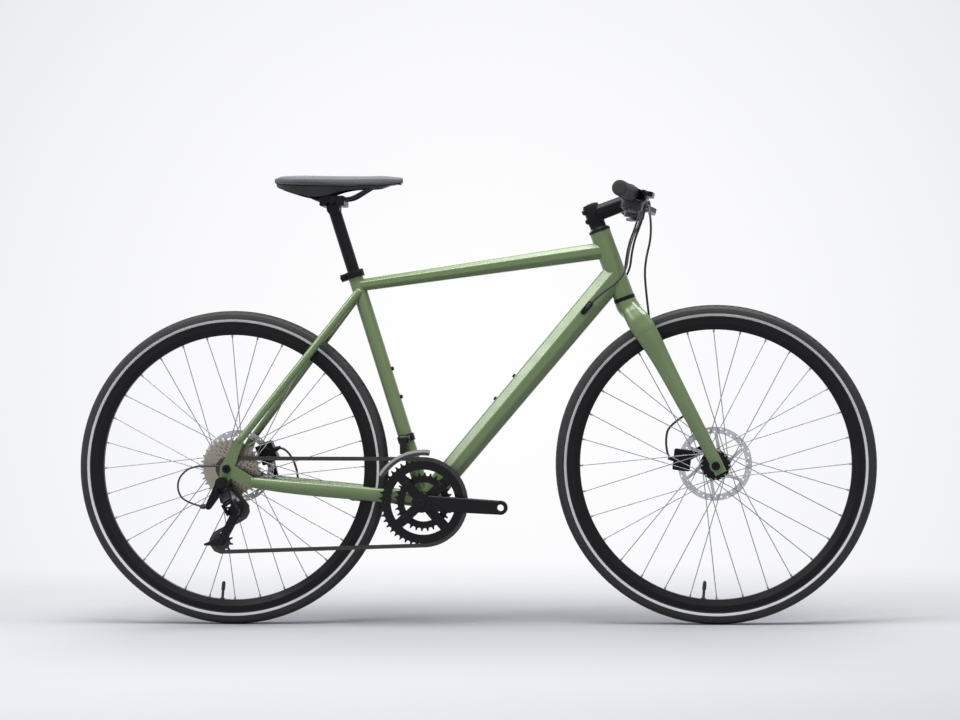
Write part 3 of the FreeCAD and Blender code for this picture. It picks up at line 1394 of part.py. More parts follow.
def chain_pitches(cage_angle):
    return sum(run[0] for run in chain_runs(cage_angle))


# The cage hangs at the angle that gives the chain a whole, even number of pitches near the nominal one.
CAGE_NOMINAL = 243
CAGE_SEARCH = 14
low_angle = CAGE_NOMINAL - CAGE_SEARCH
high_angle = CAGE_NOMINAL + CAGE_SEARCH
link_count = 2 * round(chain_pitches(CAGE_NOMINAL) / 2)
for step in range(60):
    middle_angle = (low_angle + high_angle) / 2
    if (chain_pitches(middle_angle) - link_count) * (chain_pitches(low_angle) - link_count) > 0:
        low_angle = middle_angle
    else:
        high_angle = middle_angle
cage_angle = (low_angle + high_angle) / 2
tension_center = guide_center + polar(cage_angle, size.cage_length)
print(f"chain of {link_count} links, cage at {cage_angle:.2f} degrees")


def chain_pins():
    """Pin centres along the loop, one pitch apart, with the chain's line between its sprockets."""
    runs = chain_runs(cage_angle)
    lines = (cog_line, size.big_ring_line, cog_line, cog_line)
    pins = []
    passed = 0
    number = 0
    for index, (pitches, start, end, stop) in enumerate(runs):
        while number < link_count and number <= passed + pitches:
            share = (number - passed) / pitches
            if stop is None:
                before = lines[index // 2]
                after = lines[(index // 2 + 1) % len(lines)]
                at = start + (end - start) * share
                eased = share * share * (3 - 2 * share)
                at = at + RIGHT * (before + (after - before) * eased)
            else:
                at = stop[0] + polar(start + end * share, pitch_radius(stop[1])) + RIGHT * stop[3]
            pins.append(at)
            number += 1
        passed += pitches
    return pins


def wrapped_phase(stop_index):
    """Angle of the first roller on a sprocket of the loop, from the pitches passed before it."""
    runs = chain_runs(cage_angle)
    run_index = 2 * stop_index - 1
    passed = sum(run[0] for run in runs[:run_index])
    pitches, arrive, swept, stop = runs[run_index]
    first = math.ceil(passed) - passed
    return arrive + swept * first / pitches


pins = chain_pins()
inner_half = size.chain_inner_gap / 2
outer_start = inner_half + size.chain_plate + size.chain_plate_gap


def chain_link(plate_start, pin_radius, pin_half, bore):
    """A link of one pitch along X: two plates and the two cylinders that join them."""
    far = FORWARD * size.chain_pitch
    shapes = []
    for side in (RIGHT, LEFT):
        middle = side * (plate_start + size.chain_plate / 2)
        shapes.append(bar_plate(middle, size.chain_plate_radius, far + middle, size.chain_plate_radius,
                                size.chain_plate))
    shapes += [disc(ORIGIN, pin_radius, pin_half * 2), disc(far, pin_radius, pin_half * 2)]
    link = fused(shapes)
    if bore:
        link = link.cut([disc(ORIGIN, bore, pin_half * 4), disc(far, bore, pin_half * 4)])
    return link


inner_link = chain_link(inner_half, size.roller_radius, inner_half + size.chain_plate,
                        size.chain_pin_radius + size.chain_plate_gap * 2)
outer_link = chain_link(outer_start, size.chain_pin_radius,
                        outer_start + size.chain_plate + size.chain_pin_head, 0)
links = []
for number, pin in enumerate(pins):
    following = pins[(number + 1) % len(pins)]
    along = following - pin
    spare = along.Length - size.chain_pitch
    along.normalize()
    across = (LEFT - along * along.dot(LEFT)).normalize()
    link = (outer_link if number % 2 else inner_link).copy()
    link.Placement = Placement(pin + along * (spare / 2), Rotation(along, across, along.cross(across), "ZXY"))
    links.append(link)
keep("chain", feature("chain", Part.makeCompound(links)))


# Cassette

cogs = []
for number, teeth in enumerate(COG_TEETH):
    center = rear_axle + RIGHT * (cog_line - number * size.cog_pitch)
    phase = wrapped_phase(4) if number == 0 else number * 7
    bore = disc(center, size.freehub_radius + size.shaft_gap, size.cog_thickness * 2)
    cogs.append(sprocket(center, teeth, size.cog_thickness, phase).cut(bore))
    if number:
        gap = size.cog_pitch - size.cog_thickness
        spacer_at = center + RIGHT * (size.cog_pitch / 2)
        cogs.append(disc(spacer_at, size.cog_spacer_radius, gap).cut(
            disc(spacer_at, size.freehub_radius + size.shaft_gap, gap * 2)))
freehub_inner = rear_axle + RIGHT * (size.rear_flange_right + size.flange_thickness / 2 + size.running_gap)
freehub_outer = rear_axle + RIGHT * (cog_line + size.cog_thickness / 2)
lockring_outer = freehub_outer + RIGHT * size.lockring_height
freehub = fused([rod(freehub_inner, freehub_outer, size.freehub_radius),
                 rod(freehub_outer, lockring_outer, size.lockring_radius)])
keep("cassette", feature("cassette", Part.makeCompound(cogs + [
    freehub.cut(disc(rear_axle, size.axle_radius + size.shaft_gap, size.rear_spacing * 2))])))


# Crank set

crank_dir = polar(size.crank_angle, 1)


def crank_arm(side, direction):
    """Arm from its boss on the spindle to the pedal eye, flaring outwards."""
    inner = bracket + side * size.crank_inset
    boss = rod(inner, inner + side * size.crank_boss_width, size.crank_boss_radius)
    root = inner + side * (size.crank_thickness / 2 + size.running_gap)
    eye = root + direction * size.crank_length + side * size.crank_flare
    rise = direction.cross(LEFT)
    wires = []
    for center, half_width in ((root, size.crank_root_width / 2), (eye, size.crank_end_radius)):
        half_depth = size.crank_thickness / 2
        corners = [center + rise * (half_width * a) + LEFT * (half_depth * b)
                   for a, b in ((1, 1), (-1, 1), (-1, -1), (1, -1))]
        wires.append(rounded(corners, half_depth / 2))
    arm = Part.makeLoft(wires, True, True)
    end = disc(eye, size.crank_end_radius, size.crank_thickness)
    cap = rod(inner, inner + side * (size.crank_boss_width + size.spindle_cap_height),
              size.spindle_cap_radius)
    hole = disc(eye, size.pedal_hole_radius, size.crank_thickness * 3)
    return fused([boss, arm, end, cap]).cut(hole), eye


right_arm, right_eye = crank_arm(RIGHT, crank_dir)
left_arm, left_eye = crank_arm(LEFT, -crank_dir)
spindle_half = size.crank_inset - size.shaft_gap
spindle = rod(bracket + RIGHT * spindle_half, bracket + LEFT * spindle_half, size.spindle_radius)
spider_line = size.big_ring_line + size.ring_thickness / 2 + size.spider_thickness / 2
spider_center = bracket + RIGHT * spider_line
SPIDER_TURN = 45
RING_TAB_SHARE = 1.08
spider = [disc(spider_center, size.crank_boss_radius, size.spider_thickness),
          rod(spider_center, bracket + RIGHT * spindle_half, size.crank_boss_radius)]
ring_bolts = []
for number in range(int(size.spider_arms)):
    angle = size.crank_angle + SPIDER_TURN + number * 360 / size.spider_arms
    tip = polar(angle, size.ring_bolt_circle)
    spider.append(bar_plate(spider_center, size.spider_arm_radius, spider_center + tip,
                            size.ring_tab_radius, size.spider_thickness))
    ring_bolts.append(tip)
spider_bore = disc(bracket, size.spindle_radius + size.shaft_gap, size.crank_inset * 2)
keep("crank_arm_right", feature("crank_arm_right", Part.makeCompound(
    [right_arm, spindle, fused(spider).cut(spider_bore)])))
keep("crank_arm_left", feature("crank_arm_left", left_arm))

big_center = bracket + RIGHT * size.big_ring_line
small_center = bracket + RIGHT * size.small_ring_line
big_ring = sprocket(big_center, size.big_ring_teeth, size.ring_thickness, wrapped_phase(1))
big_ring = big_ring.cut(disc(big_center, size.big_ring_inner, size.ring_thickness * 2))
big_tabs = [bar_plate(big_center + tip, size.ring_tab_radius,
                      big_center + tip * (size.big_ring_inner / size.ring_bolt_circle * RING_TAB_SHARE),
                      size.ring_tab_radius, size.ring_thickness) for tip in ring_bolts]
small_ring = sprocket(small_center, size.small_ring_teeth, size.ring_thickness, size.crank_angle)
small_ring = small_ring.cut(disc(small_center, size.small_ring_inner, size.ring_thickness * 2))
spacer_run = size.big_ring_line - size.small_ring_line - size.ring_thickness
ring_spacers = [rod(small_center + tip + RIGHT * (size.ring_thickness / 2),
                    small_center + tip + RIGHT * (size.ring_thickness / 2 + spacer_run),
                    size.ring_bolt_radius) for tip in ring_bolts]
keep("chainrings", feature("chainrings", Part.makeCompound(
    [fused([big_ring] + big_tabs), small_ring] + ring_spacers)))

for name, side in (("cup_right", RIGHT), ("cup_left", LEFT)):
    bearing_cups.append(lathe(name, (
        ("spindle_radius + shaft_gap", "-cup_sleeve"), ("bracket_bore - shaft_gap", "-cup_sleeve"),
        ("bracket_bore - shaft_gap", "0"), ("cup_radius", "0"), ("cup_radius", "cup_width"),
        ("spindle_radius + shaft_gap", "cup_width")), bracket + side * (size.bracket_width / 2), side))
doc.recompute()
keep("bearing_cups", feature("bearing_cups", Part.makeCompound([cup.Shape for cup in bearing_cups])))


# Rear derailleur

link_axis = polar(90 - size.link_slant, 1)
link_down = polar(-size.link_slant, 1)
turn = math.radians(size.link_angle)
link_run = RIGHT * (size.link_length * math.cos(turn)) + link_down * (size.link_length * math.sin(turn))
hanger_face = size.rear_spacing / 2 + size.dropout_thickness
knuckle_link = guide_center - link_down * size.link_knuckle_reach
mount_link_line = hanger_face + size.link_pivot_inset
mount_pivot = knuckle_link - link_down * (size.link_length * math.sin(turn)) + RIGHT * mount_link_line
knuckle_pivot = mount_pivot + link_run
pair = RIGHT * size.link_pair_gap
ear_span = size.link_width + 2 * size.running_gap + 2 * size.link_ear

links = [bar_plate(mount_pivot + shift, size.link_radius, knuckle_pivot + shift, size.link_radius,
                   size.link_width, link_axis) for shift in (ORIGIN, pair)]
pin_holes = [disc(point + shift, size.link_pin_radius + size.shaft_gap, ear_span, link_axis)
             for point in (mount_pivot, knuckle_pivot) for shift in (ORIGIN, pair)]
for name, link in zip(("derailleur_link_inner", "derailleur_link_outer"), links):
    keep(name, feature(name, link.cut(pin_holes)))


def link_ears(pivot, root):
    """Two cheeks beside the links that carry both their pins, reaching back to a root point."""
    shapes = []
    root = root - link_axis * (root - pivot).dot(link_axis)
    for side in (-1, 1):
        shift = link_axis * (side * (size.link_width / 2 + size.running_gap + size.link_ear / 2))
        for end in (pivot, pivot + pair):
            shapes.append(bar_plate(end + shift, size.link_radius, root + shift
                                    + RIGHT * (end - pivot).dot(RIGHT), size.link_radius,
                                    size.link_ear, link_axis))
        shapes.append(bar_plate(pivot + shift, size.link_radius, pivot + pair + shift, size.link_radius,
                                size.link_ear, link_axis))
    shapes += [disc(end, size.link_pin_radius, ear_span, link_axis) for end in (pivot, pivot + pair)]
    return shapes


mount_low = hanger + RIGHT * (hanger_face + size.shaft_gap)
mount_body = rod(mount_low, mount_low + RIGHT * size.mount_length, size.mount_radius)
mount_bolt = fused([rod(hanger + RIGHT * (hanger_face - size.dropout_thickness), mount_low
                        + RIGHT * size.mount_length, size.mount_bolt_radius),
                    rod(mount_low + RIGHT * size.mount_length, mount_low + RIGHT * (
                        size.mount_length + size.mount_bolt_height), size.mount_radius)])
mount_root = Vector(hanger.x, mount_pivot.y, hanger.z)
barrel_at = rear_axle + Vector(-size.barrel_back, -(hanger_face + size.mount_length / 2), -size.barrel_drop)
barrel_arm = bar_plate(hanger + RIGHT * (hanger_face + size.mount_length / 2), size.mount_radius,
                       barrel_at, size.barrel_arm_width / 2, size.barrel_arm_width / 2)
link_room = disc(mount_pivot, size.link_radius + size.running_gap, size.link_width + 2 * size.running_gap,
                 link_axis)
barrel_arm = barrel_arm.cut(link_room)
barrel = Part.makeCylinder(size.barrel_radius, size.barrel_length, barrel_at, -FORWARD)
cheek_root = mount_root + link_down * (size.mount_radius / 2)
mount_shape = fused([mount_body, mount_bolt, barrel_arm, barrel] + link_ears(mount_pivot, cheek_root))
keep("derailleur_mount", feature("derailleur_mount", mount_shape))

cage_outer_face = cog_line + size.cage_gap / 2 + size.cage_plate
knuckle_start = guide_center + RIGHT * (cage_outer_face + size.running_gap * 2)
knuckle_body = rod(knuckle_start, knuckle_start + RIGHT * size.knuckle_length, size.knuckle_radius)
knuckle_bore = rod(guide_center, knuckle_start + RIGHT * size.cage_pin_length,
                   size.cage_pin_radius + size.shaft_gap)
knuckle_root = Vector(guide_center.x, knuckle_pivot.y, guide_center.z)
knuckle_shape = fused([knuckle_body] + link_ears(knuckle_pivot, knuckle_root)).cut(knuckle_bore)
keep("derailleur_knuckle", feature("derailleur_knuckle", knuckle_shape))

plate_shapes = []
for side in (1, -1):
    out = RIGHT * (cog_line + side * (size.cage_gap + size.cage_plate) / 2)
    plate_shapes.append(bar_plate(guide_center + out, size.cage_guide_radius, tension_center + out,
                                  size.cage_tension_radius, size.cage_plate))
tail_out = RIGHT * (cog_line + (size.cage_gap + size.cage_plate) / 2)
tail_end = tension_center + Vector(-size.cage_tail, 0, -size.cage_tail_rise)
plate_shapes.append(bar_plate(tension_center + tail_out, size.cage_tension_radius, tail_end + tail_out,
                              size.cage_tail_radius, size.cage_plate))
bolt_span = size.cage_gap + 2 * (size.cage_plate + size.cage_bolt_head)
cage_pin = rod(guide_center + RIGHT * cage_outer_face, knuckle_start
               + RIGHT * (size.cage_pin_length - size.running_gap), size.cage_pin_radius)
cage_bolts = [disc(center + RIGHT * cog_line, size.pulley_bore - size.shaft_gap, size.cage_gap
                   + size.cage_plate) for center in (guide_center, tension_center)]
tension_head = disc(tension_center + RIGHT * cog_line, size.pulley_bore * 2, bolt_span).cut(
    disc(tension_center + RIGHT * cog_line, size.pulley_bore * 3, size.cage_gap + size.cage_plate))
keep("derailleur_cage", feature("derailleur_cage", fused(
    plate_shapes + cage_bolts + [cage_pin] + tension_head.Solids)))

for name, center, stop_index in (("tension_pulley", tension_center, 2), ("guide_pulley", guide_center, 3)):
    middle = center + RIGHT * cog_line
    pulley = sprocket(middle, size.pulley_teeth, size.pulley_thickness, wrapped_phase(stop_index))
    hub = disc(middle, size.pulley_bore * 2, size.cage_gap - 2 * size.running_gap)
    keep(name, feature(name, pulley.fuse(hub).cut(disc(middle, size.pulley_bore, size.cage_gap * 2))))


# Front derailleur

band_at = bracket + seat_up * size.band_rise
band_radius = size.seat_tube_radius + size.band_wall
band = Part.makeCylinder(band_radius, size.band_height, band_at - seat_up * (size.band_height / 2), seat_up)
arm_start = band_at + RIGHT * (size.seat_tube_radius + size.band_wall / 2)
hinge = arm_start + RIGHT * (size.changer_arm_length - size.changer_arm_height / 2)
lug_length = size.changer_arm_length - size.changer_arm_height - size.changer_plate
band_lug = brick(arm_start + RIGHT * (lug_length / 2), LEFT, FORWARD,
                 (lug_length, size.changer_arm_height, size.changer_arm_height))
cheek_shift = FORWARD * (size.changer_arm_height / 2 + size.running_gap + size.changer_plate)
cheeks = [bar_plate(arm_start + cheek_shift * side, size.changer_arm_height / 2, hinge + cheek_shift * side,
                    size.changer_arm_height / 2, size.changer_plate * 2, FORWARD) for side in (-1, 1)]
hinge_pin = disc(hinge, size.changer_pivot_radius, size.changer_arm_height + 4 * size.changer_plate, FORWARD)
hinge_room = disc(hinge, size.changer_arm_height / 2 + size.running_gap, size.changer_arm_height
                  + 2 * size.running_gap, FORWARD)
clamp_shape = fused([band, band_lug] + cheeks).cut([seat_block, hinge_room]).fuse(hinge_pin)
keep("front_derailleur_clamp", feature("front_derailleur_clamp", clamp_shape.removeSplitter()))

changer_low = pitch_radius(size.big_ring_teeth) + size.tooth_height + size.changer_gap


def cage_arc(line, low, high):
    """Plate curved round the large chainring."""
    center = bracket + RIGHT * line
    middle = (size.changer_start_angle + size.changer_end_angle) / 2
    ends = (size.changer_start_angle, middle, size.changer_end_angle)
    outer = [center + polar(angle, high) for angle in ends]
    inner = [center + polar(angle, low) for angle in reversed(ends)]
    outline = [Part.Arc(*outer).toShape(), Part.LineSegment(outer[-1], inner[0]).toShape(),
               Part.Arc(*inner).toShape(), Part.LineSegment(inner[-1], outer[0]).toShape()]
    face = Part.Face(Part.Wire(outline))
    face.translate(LEFT * (-size.changer_plate / 2))
    return face.extrude(LEFT * size.changer_plate)


changer_high = changer_low + size.changer_plate_height
outer_line = size.big_ring_line + size.changer_outer_offset
inner_line = size.big_ring_line - size.changer_inner_offset
changer_angle = math.degrees(math.atan2(hinge.z - bracket.z, hinge.x - bracket.x))
bridge_at = bracket + polar(changer_angle, changer_high - size.changer_plate)
bridge = rod(bridge_at + RIGHT * inner_line, bridge_at + RIGHT * outer_line, size.changer_pivot_radius)
drop_end = bridge_at + RIGHT * inner_line
hinge_arm = bar_plate(hinge, size.changer_arm_height / 2, Vector(hinge.x, drop_end.y, drop_end.z),
                      size.changer_pivot_radius, size.changer_arm_height, FORWARD)
changer = fused([cage_arc(outer_line, changer_low, changer_high), cage_arc(inner_line, changer_low,
                                                                             changer_high),
                 bridge, hinge_arm])
changer = changer.cut(disc(hinge, size.changer_pivot_radius + size.shaft_gap, size.changer_arm_height * 2,
                           FORWARD))
keep("front_derailleur_cage", feature("front_derailleur_cage", changer))


# Seatpost, saddle clamp and rails

post_head = seat_top + seat_up * size.seatpost_head_rise
post_foot = seat_top - seat_up * size.seatpost_insert
post_shape = fused([rod(post_foot, post_head, size.seatpost_radius),
                    disc(post_head, size.seatpost_head_radius, size.seatpost_head_width)])
post_bore = rod(post_foot, post_head - seat_up * (size.seatpost_head_radius * 2),
                size.seatpost_radius - size.seatpost_wall)
keep("seatpost", feature("seatpost", post_shape.cut(post_bore)))

rail_line = post_head.z + size.rail_rise
clamp_half_width = size.rail_spread + size.rail_radius + size.saddle_clamp_side
RAIL_CLAMP_SHARE = 0.75
saddle_rear = post_head.x - size.saddle_setback
saddle_low = rail_line + size.saddle_lift - size.saddle_height / 2
# Along the saddle from its tail: share of the length, of the half width, and heights as shares of the
# saddle's height for the crown, the seam under the pad and the lower edge.
SADDLE_SHARES = (
    (0.0, 0.46, 0.84, 0.58, 0.48), (0.06, 0.80, 0.89, 0.50, 0.32), (0.20, 1.0, 0.90, 0.44, 0.10),
    (0.36, 0.84, 0.89, 0.42, 0.02), (0.50, 0.53, 0.88, 0.42, 0.20), (0.68, 0.33, 0.88, 0.44, 0.33),
    (0.86, 0.27, 0.86, 0.46, 0.38), (1.0, 0.16, 0.79, 0.54, 0.48))
SADDLE_EDGE_SHARE = 0.78
SADDLE_CROWN_SHARE = 0.72
SADDLE_MIDDLE_SHARE = 0.4


def saddle_wire(station, half_width, low, high):
    """Cross-section of the saddle: flat below, bowed sides, crowned top."""
    edge = half_width * SADDLE_EDGE_SHARE
    brow = low + (high - low) * SADDLE_CROWN_SHARE
    waist = low + (high - low) * SADDLE_MIDDLE_SHARE
    corners = [Vector(station, -edge, low), Vector(station, edge, low), Vector(station, edge, brow),
               Vector(station, -edge, brow)]
    return Part.Wire([
        Part.LineSegment(corners[0], corners[1]).toShape(),
        Part.Arc(corners[1], Vector(station, half_width, waist), corners[2]).toShape(),
        Part.Arc(corners[2], Vector(station, 0, high), corners[3]).toShape(),
        Part.Arc(corners[3], Vector(station, -half_width, waist), corners[0]).toShape()])


def saddle_loft(low_index, high_index, shrink, lift):
    wires = []
    for shares in SADDLE_SHARES:
        station = saddle_rear + shares[0] * size.saddle_length
        half_width = shares[1] * size.saddle_width / 2 - shrink
        low = saddle_low + shares[low_index] * size.saddle_height
        high = saddle_low + shares[high_index] * size.saddle_height + lift
        wires.append(saddle_wire(station, half_width, low, high))
    return Part.makeLoft(wires, True, False)


pad = saddle_loft(3, 2, 0, 0)
keep("saddle_pad", feature("saddle_pad", pad))

# The base is a tray under the pad; the rails rise into it fore and aft of the clamp.
BASE_FOOT_SHARE = 0.62


def base_wire(station, top_half, top, foot_half, foot):
    corners = [Vector(station, top_half, top), Vector(station, -top_half, top),
               Vector(station, -foot_half, foot), Vector(station, foot_half, foot)]
    return Part.makePolygon(corners + corners[:1])


def base_loft(wall, sink):
    """Loft under the pad, drawn in by a wall; sink carries it on below the lower edge."""
    wires = []
    middle = saddle_rear + size.saddle_length / 2
    for share, wide, crown, seam, edge in SADDLE_SHARES:
        station = middle + (share - 0.5) * (size.saddle_length - 2 * wall)
        top_half = wide * size.saddle_width / 2 * SADDLE_EDGE_SHARE - wall
        foot_half = wide * size.saddle_width / 2 * BASE_FOOT_SHARE - wall
        top = saddle_low + seam * size.saddle_height - size.shaft_gap - wall
        foot = saddle_low + edge * size.saddle_height - size.shaft_gap - sink
        wires.append(base_wire(station, top_half, top, foot_half, foot))
    return Part.makeLoft(wires, True, False)


base_block = base_loft(0, 0)
base_shape = base_block.cut(base_loft(size.saddle_base_wall, size.cut_overrun))
keep("saddle_base", feature("saddle_base", max(base_shape.Solids, key=lambda solid: solid.Volume)))

# Ends of the rails, as shares of the saddle's length and of the clamp's spread.
RAIL_NOSE_SHARES = (0.83, 0.4)
RAIL_TAIL_SHARES = (0.14, 1.45)
rail_shapes = []
for side in (RIGHT, LEFT):
    seam_height = saddle_low + SADDLE_SHARES[0][3] * size.saddle_height
    flat_half = size.saddle_clamp_length * RAIL_CLAMP_SHARE
    nose = Vector(saddle_rear + RAIL_NOSE_SHARES[0] * size.saddle_length, 0, seam_height)
    tail = Vector(saddle_rear + RAIL_TAIL_SHARES[0] * size.saddle_length, 0, seam_height)
    route = (nose + side * (size.rail_spread * RAIL_NOSE_SHARES[1]),
             Vector(post_head.x + flat_half, 0, rail_line) + side * size.rail_spread,
             Vector(post_head.x - flat_half, 0, rail_line) + side * size.rail_spread,
             tail + side * (size.rail_spread * RAIL_TAIL_SHARES[1]))
    bend_room = flat_half - size.saddle_clamp_length / 2 - size.running_gap
    rail = pipe(route, size.rail_radius, bend_room).cut([base_shape, pad])
    rail_shapes.append(max(rail.Solids, key=lambda solid: solid.Volume))
keep("saddle_rails", feature("saddle_rails", Part.makeCompound(rail_shapes)))

clamp_center = Vector(post_head.x, 0, rail_line + size.rail_radius - size.saddle_clamp_height / 2
                      + size.saddle_clamp_side / 2)
clamp_body = brick(clamp_center, FORWARD, LEFT,
                   (size.saddle_clamp_length, clamp_half_width * 2, size.saddle_clamp_height))
clamp_body = clamp_body.makeFillet(size.saddle_clamp_side / 2, [
    edge for edge in clamp_body.Edges if abs(edge.tangentAt(edge.FirstParameter).y) > 0.5])
rail_grooves = [disc(Vector(post_head.x, 0, rail_line) + side * size.rail_spread,
                     size.rail_radius + size.shaft_gap, size.saddle_clamp_length * 2, FORWARD)
                for side in (RIGHT, LEFT)]
head_room = disc(post_head, size.seatpost_head_radius + size.running_gap, clamp_half_width * 3)
keep("saddle_clamp", feature("saddle_clamp", clamp_body.cut(rail_grooves + [head_room])))


# Cables and hoses

# Where the front hose leaves its leg, as shares of the reach, offset and spread.
LEG_HOSE_SHARES = (0.66, 0.72, 0.82)
lever_end = lever_frame.multVec(body_line - FORWARD * (size.lever_body_length + size.lever_body_radius))
pod_end = lever_frame.multVec(pod_at - FORWARD * (size.shifter_pod_width / 2)
                              + LEFT * (size.shifter_pod_depth / 4))
inboard = -sweep_out


def across(point, side=LEFT):
    """A point of the right side moved to the other side for the left."""
    return Vector(point.x, -point.y, point.z) if side == LEFT else Vector(point)


def at_head(out_front, side_offset, station):
    """A point in front of the steering axis, beside it, at a distance above the crown."""
    return crown_seat + steer_up * station + steer_front * out_front + LEFT * side_offset


# How the cables round the head tube: distance in front of its axis and beside it as shares of its radius,
# and height as a share of its length.
CONTROL_SHARES = ((3.5, 0, 0.98), (1.9, 1, 0.72), (0.5, 1.6, 0.3))
FRONT_HOSE_SHARES = ((4.6, 1.6, 0.775), (3, 1.3, 0.42))
FRONT_HOSE_LOW_SHARES = (2.25, 0.1)
# Each control's cable: places apart from the head tube, and place across its port.
CABLE_PLACE_SHARES = {"shifter_right": (0.2, 1.1), "brake_right": (2.2, -1.1), "shifter_left": (1.2, 0)}
# Share of a port's length at which a cable lies straight before it, and share of the dropout's radius at
# which the derailleur housing leaves it.
PORT_LEAD_SHARE = 1.4
HOUSING_END_SHARE = 0.9
# The derailleur housing's loop behind the dropout, as shares of its reach.
HOUSING_SHARES = ((-0.6, -0.03, 0.05), (-0.94, -0.07, -0.19), (-1, -0.115, -0.5))
BARREL_SHARES = (-1, 0, 0.25)
# Where the rear hose leaves the chainstay, between two of its stations.
REAR_HOSE_SHARE = 0.42


def control_route(start, start_side, lead, place_shares, port_side):
    """From a control on the bar, round the front of the head tube to a port on the down tube."""
    place, port_share = place_shares
    spread = size.cable_pitch * place
    reach = size.head_tube_radius
    length = size.head_tube_length
    high, middle, low = CONTROL_SHARES
    begin = across(start) if start_side == LEFT else start
    inner = Vector(inboard.x, inboard.y * (-1 if start_side == LEFT else 1), 0)
    side_of_port = port_side.y
    port = (port_center + port_side * (port_half_width + size.port_height)
            + down_rise * (size.port_height * port_share))
    return (begin, begin + inner * lead,
            at_head(reach * high[0] + spread, start_side.y * spread, length * high[2]),
            at_head(reach * middle[0] + spread, side_of_port * reach * middle[1], length * middle[2]),
            at_head(reach * low[0] + spread, side_of_port * (reach * low[1] + spread), length * low[2]),
            port + down_along * (size.port_length * PORT_LEAD_SHARE)
            + port_side * (size.port_height + spread),
            port - down_along * (size.port_length / 4) - port_side * size.port_height)


blocks = [down_tube_block] + fittings
control_shapes = []
for control, start, start_side, lead, port_side, radius in (
        ("shifter_right", pod_end, RIGHT, size.cable_lead, LEFT, size.cable_radius),
        ("brake_right", lever_end, RIGHT, size.hose_lead, LEFT, size.hose_radius),
        ("shifter_left", pod_end, LEFT, size.cable_lead, RIGHT, size.cable_radius)):
    route = control_route(start, start_side, lead, CABLE_PLACE_SHARES[control], port_side)
    cable = pipe(route, radius).cut(blocks)
    control_shapes.append(max(cable.Solids, key=lambda solid: solid.Volume))
keep("control_cables", feature("control_cables", Part.makeCompound(control_shapes)))

left_lever_end = across(lever_end)
left_inboard = across(inboard)
leg_entry = leg_stations(LEFT)[2][0]
front_hose_route = [left_lever_end, left_lever_end + left_inboard * size.cable_lead]
for out, beside, station in FRONT_HOSE_SHARES:
    front_hose_route.append(at_head(size.head_tube_radius * out, size.head_tube_radius * beside,
                                    size.head_tube_length * station))
low_out, low_station = FRONT_HOSE_LOW_SHARES
front_hose_route.append(at_head(size.head_tube_radius * low_out, leg_entry.y, size.head_tube_length * low_station))
front_hose_route.append(leg_entry + steer_front * (size.leg_top_depth / 4))
front_hose_high = pipe(front_hose_route, size.hose_radius).cut([leg_blocks["left"], crown_block])
caliper_face = front_rotor_center + polar(size.front_caliper_angle, size.caliper_outer_radius)
caliper_face = caliper_face + LEFT * (size.caliper_outer_depth / 2)
leg_exit = leg_center(LEFT, *LEG_HOSE_SHARES)
bow_step = FORWARD * -size.leg_hose_bow - UP * size.leg_hose_drop
front_hose_low = pipe((
    leg_exit, leg_exit + bow_step, leg_exit + bow_step - UP * (size.leg_hose_drop * 1.2) - FORWARD
    * (size.leg_hose_bow / 5), caliper_face + polar(size.front_caliper_angle, size.front_hose_lead), caliper_face),
    size.hose_radius).cut([leg_blocks["left"], nodes["front_brake_caliper"].Shape])
keep("front_brake_hose", feature("front_brake_hose", Part.makeCompound(
    [max(shape.Solids, key=lambda solid: solid.Volume) for shape in (front_hose_high, front_hose_low)])))

dropout_edge = (rear_axle + RIGHT * dropout_middle
                + polar(size.housing_end_angle, size.dropout_radius * HOUSING_END_SHARE))
barrel_end = barrel_at - FORWARD * size.barrel_length
loop_points = [dropout_edge + Vector(*shares) * size.housing_loop for shares in HOUSING_SHARES]
housing = pipe([dropout_edge] + loop_points
               + [barrel_end + Vector(*BARREL_SHARES) * size.barrel_lead, barrel_end], size.cable_radius)
stay_middle = chainstay_stations(LEFT)[2][0]
stay_tail = chainstay_stations(LEFT)[3][0]
hose_exit = stay_middle + (stay_tail - stay_middle) * REAR_HOSE_SHARE
rear_face = rear_rotor_center + polar(size.rear_caliper_angle, size.caliper_outer_radius)
rear_face = rear_face + LEFT * (size.caliper_outer_depth / 2)
rear_hose = pipe((
    hose_exit, hose_exit + UP * size.rear_hose_rise,
    rear_face + polar(size.rear_caliper_angle, size.rear_hose_lead), rear_face), size.hose_radius)
rear_runs = (housing.cut([dropout_blocks["right"], mount_shape]),
             rear_hose.cut([chainstay_blocks["left"], nodes["rear_brake_caliper"].Shape]))
keep("rear_cables", feature("rear_cables", Part.makeCompound(
    [max(shape.Solids, key=lambda solid: solid.Volume) for shape in rear_runs])))


# Write one file for each node

doc.recompute()
for item in doc.Objects:
    if "Invalid" in item.State or "Error" in item.State:
        raise RuntimeError(f"{item.Label} failed: {item.State}")
os.makedirs("parts", exist_ok=True)
for label, piece in nodes.items():
    if piece.Shape.isNull() or not piece.Shape.isValid():
        raise RuntimeError(f"{label} has no valid shape")
    piece.Shape.exportStep(os.path.join("parts", f"{label}.step"))
print(f"{len(nodes)} nodes written")
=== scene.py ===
import math

import bpy
from mathutils import Matrix, Vector


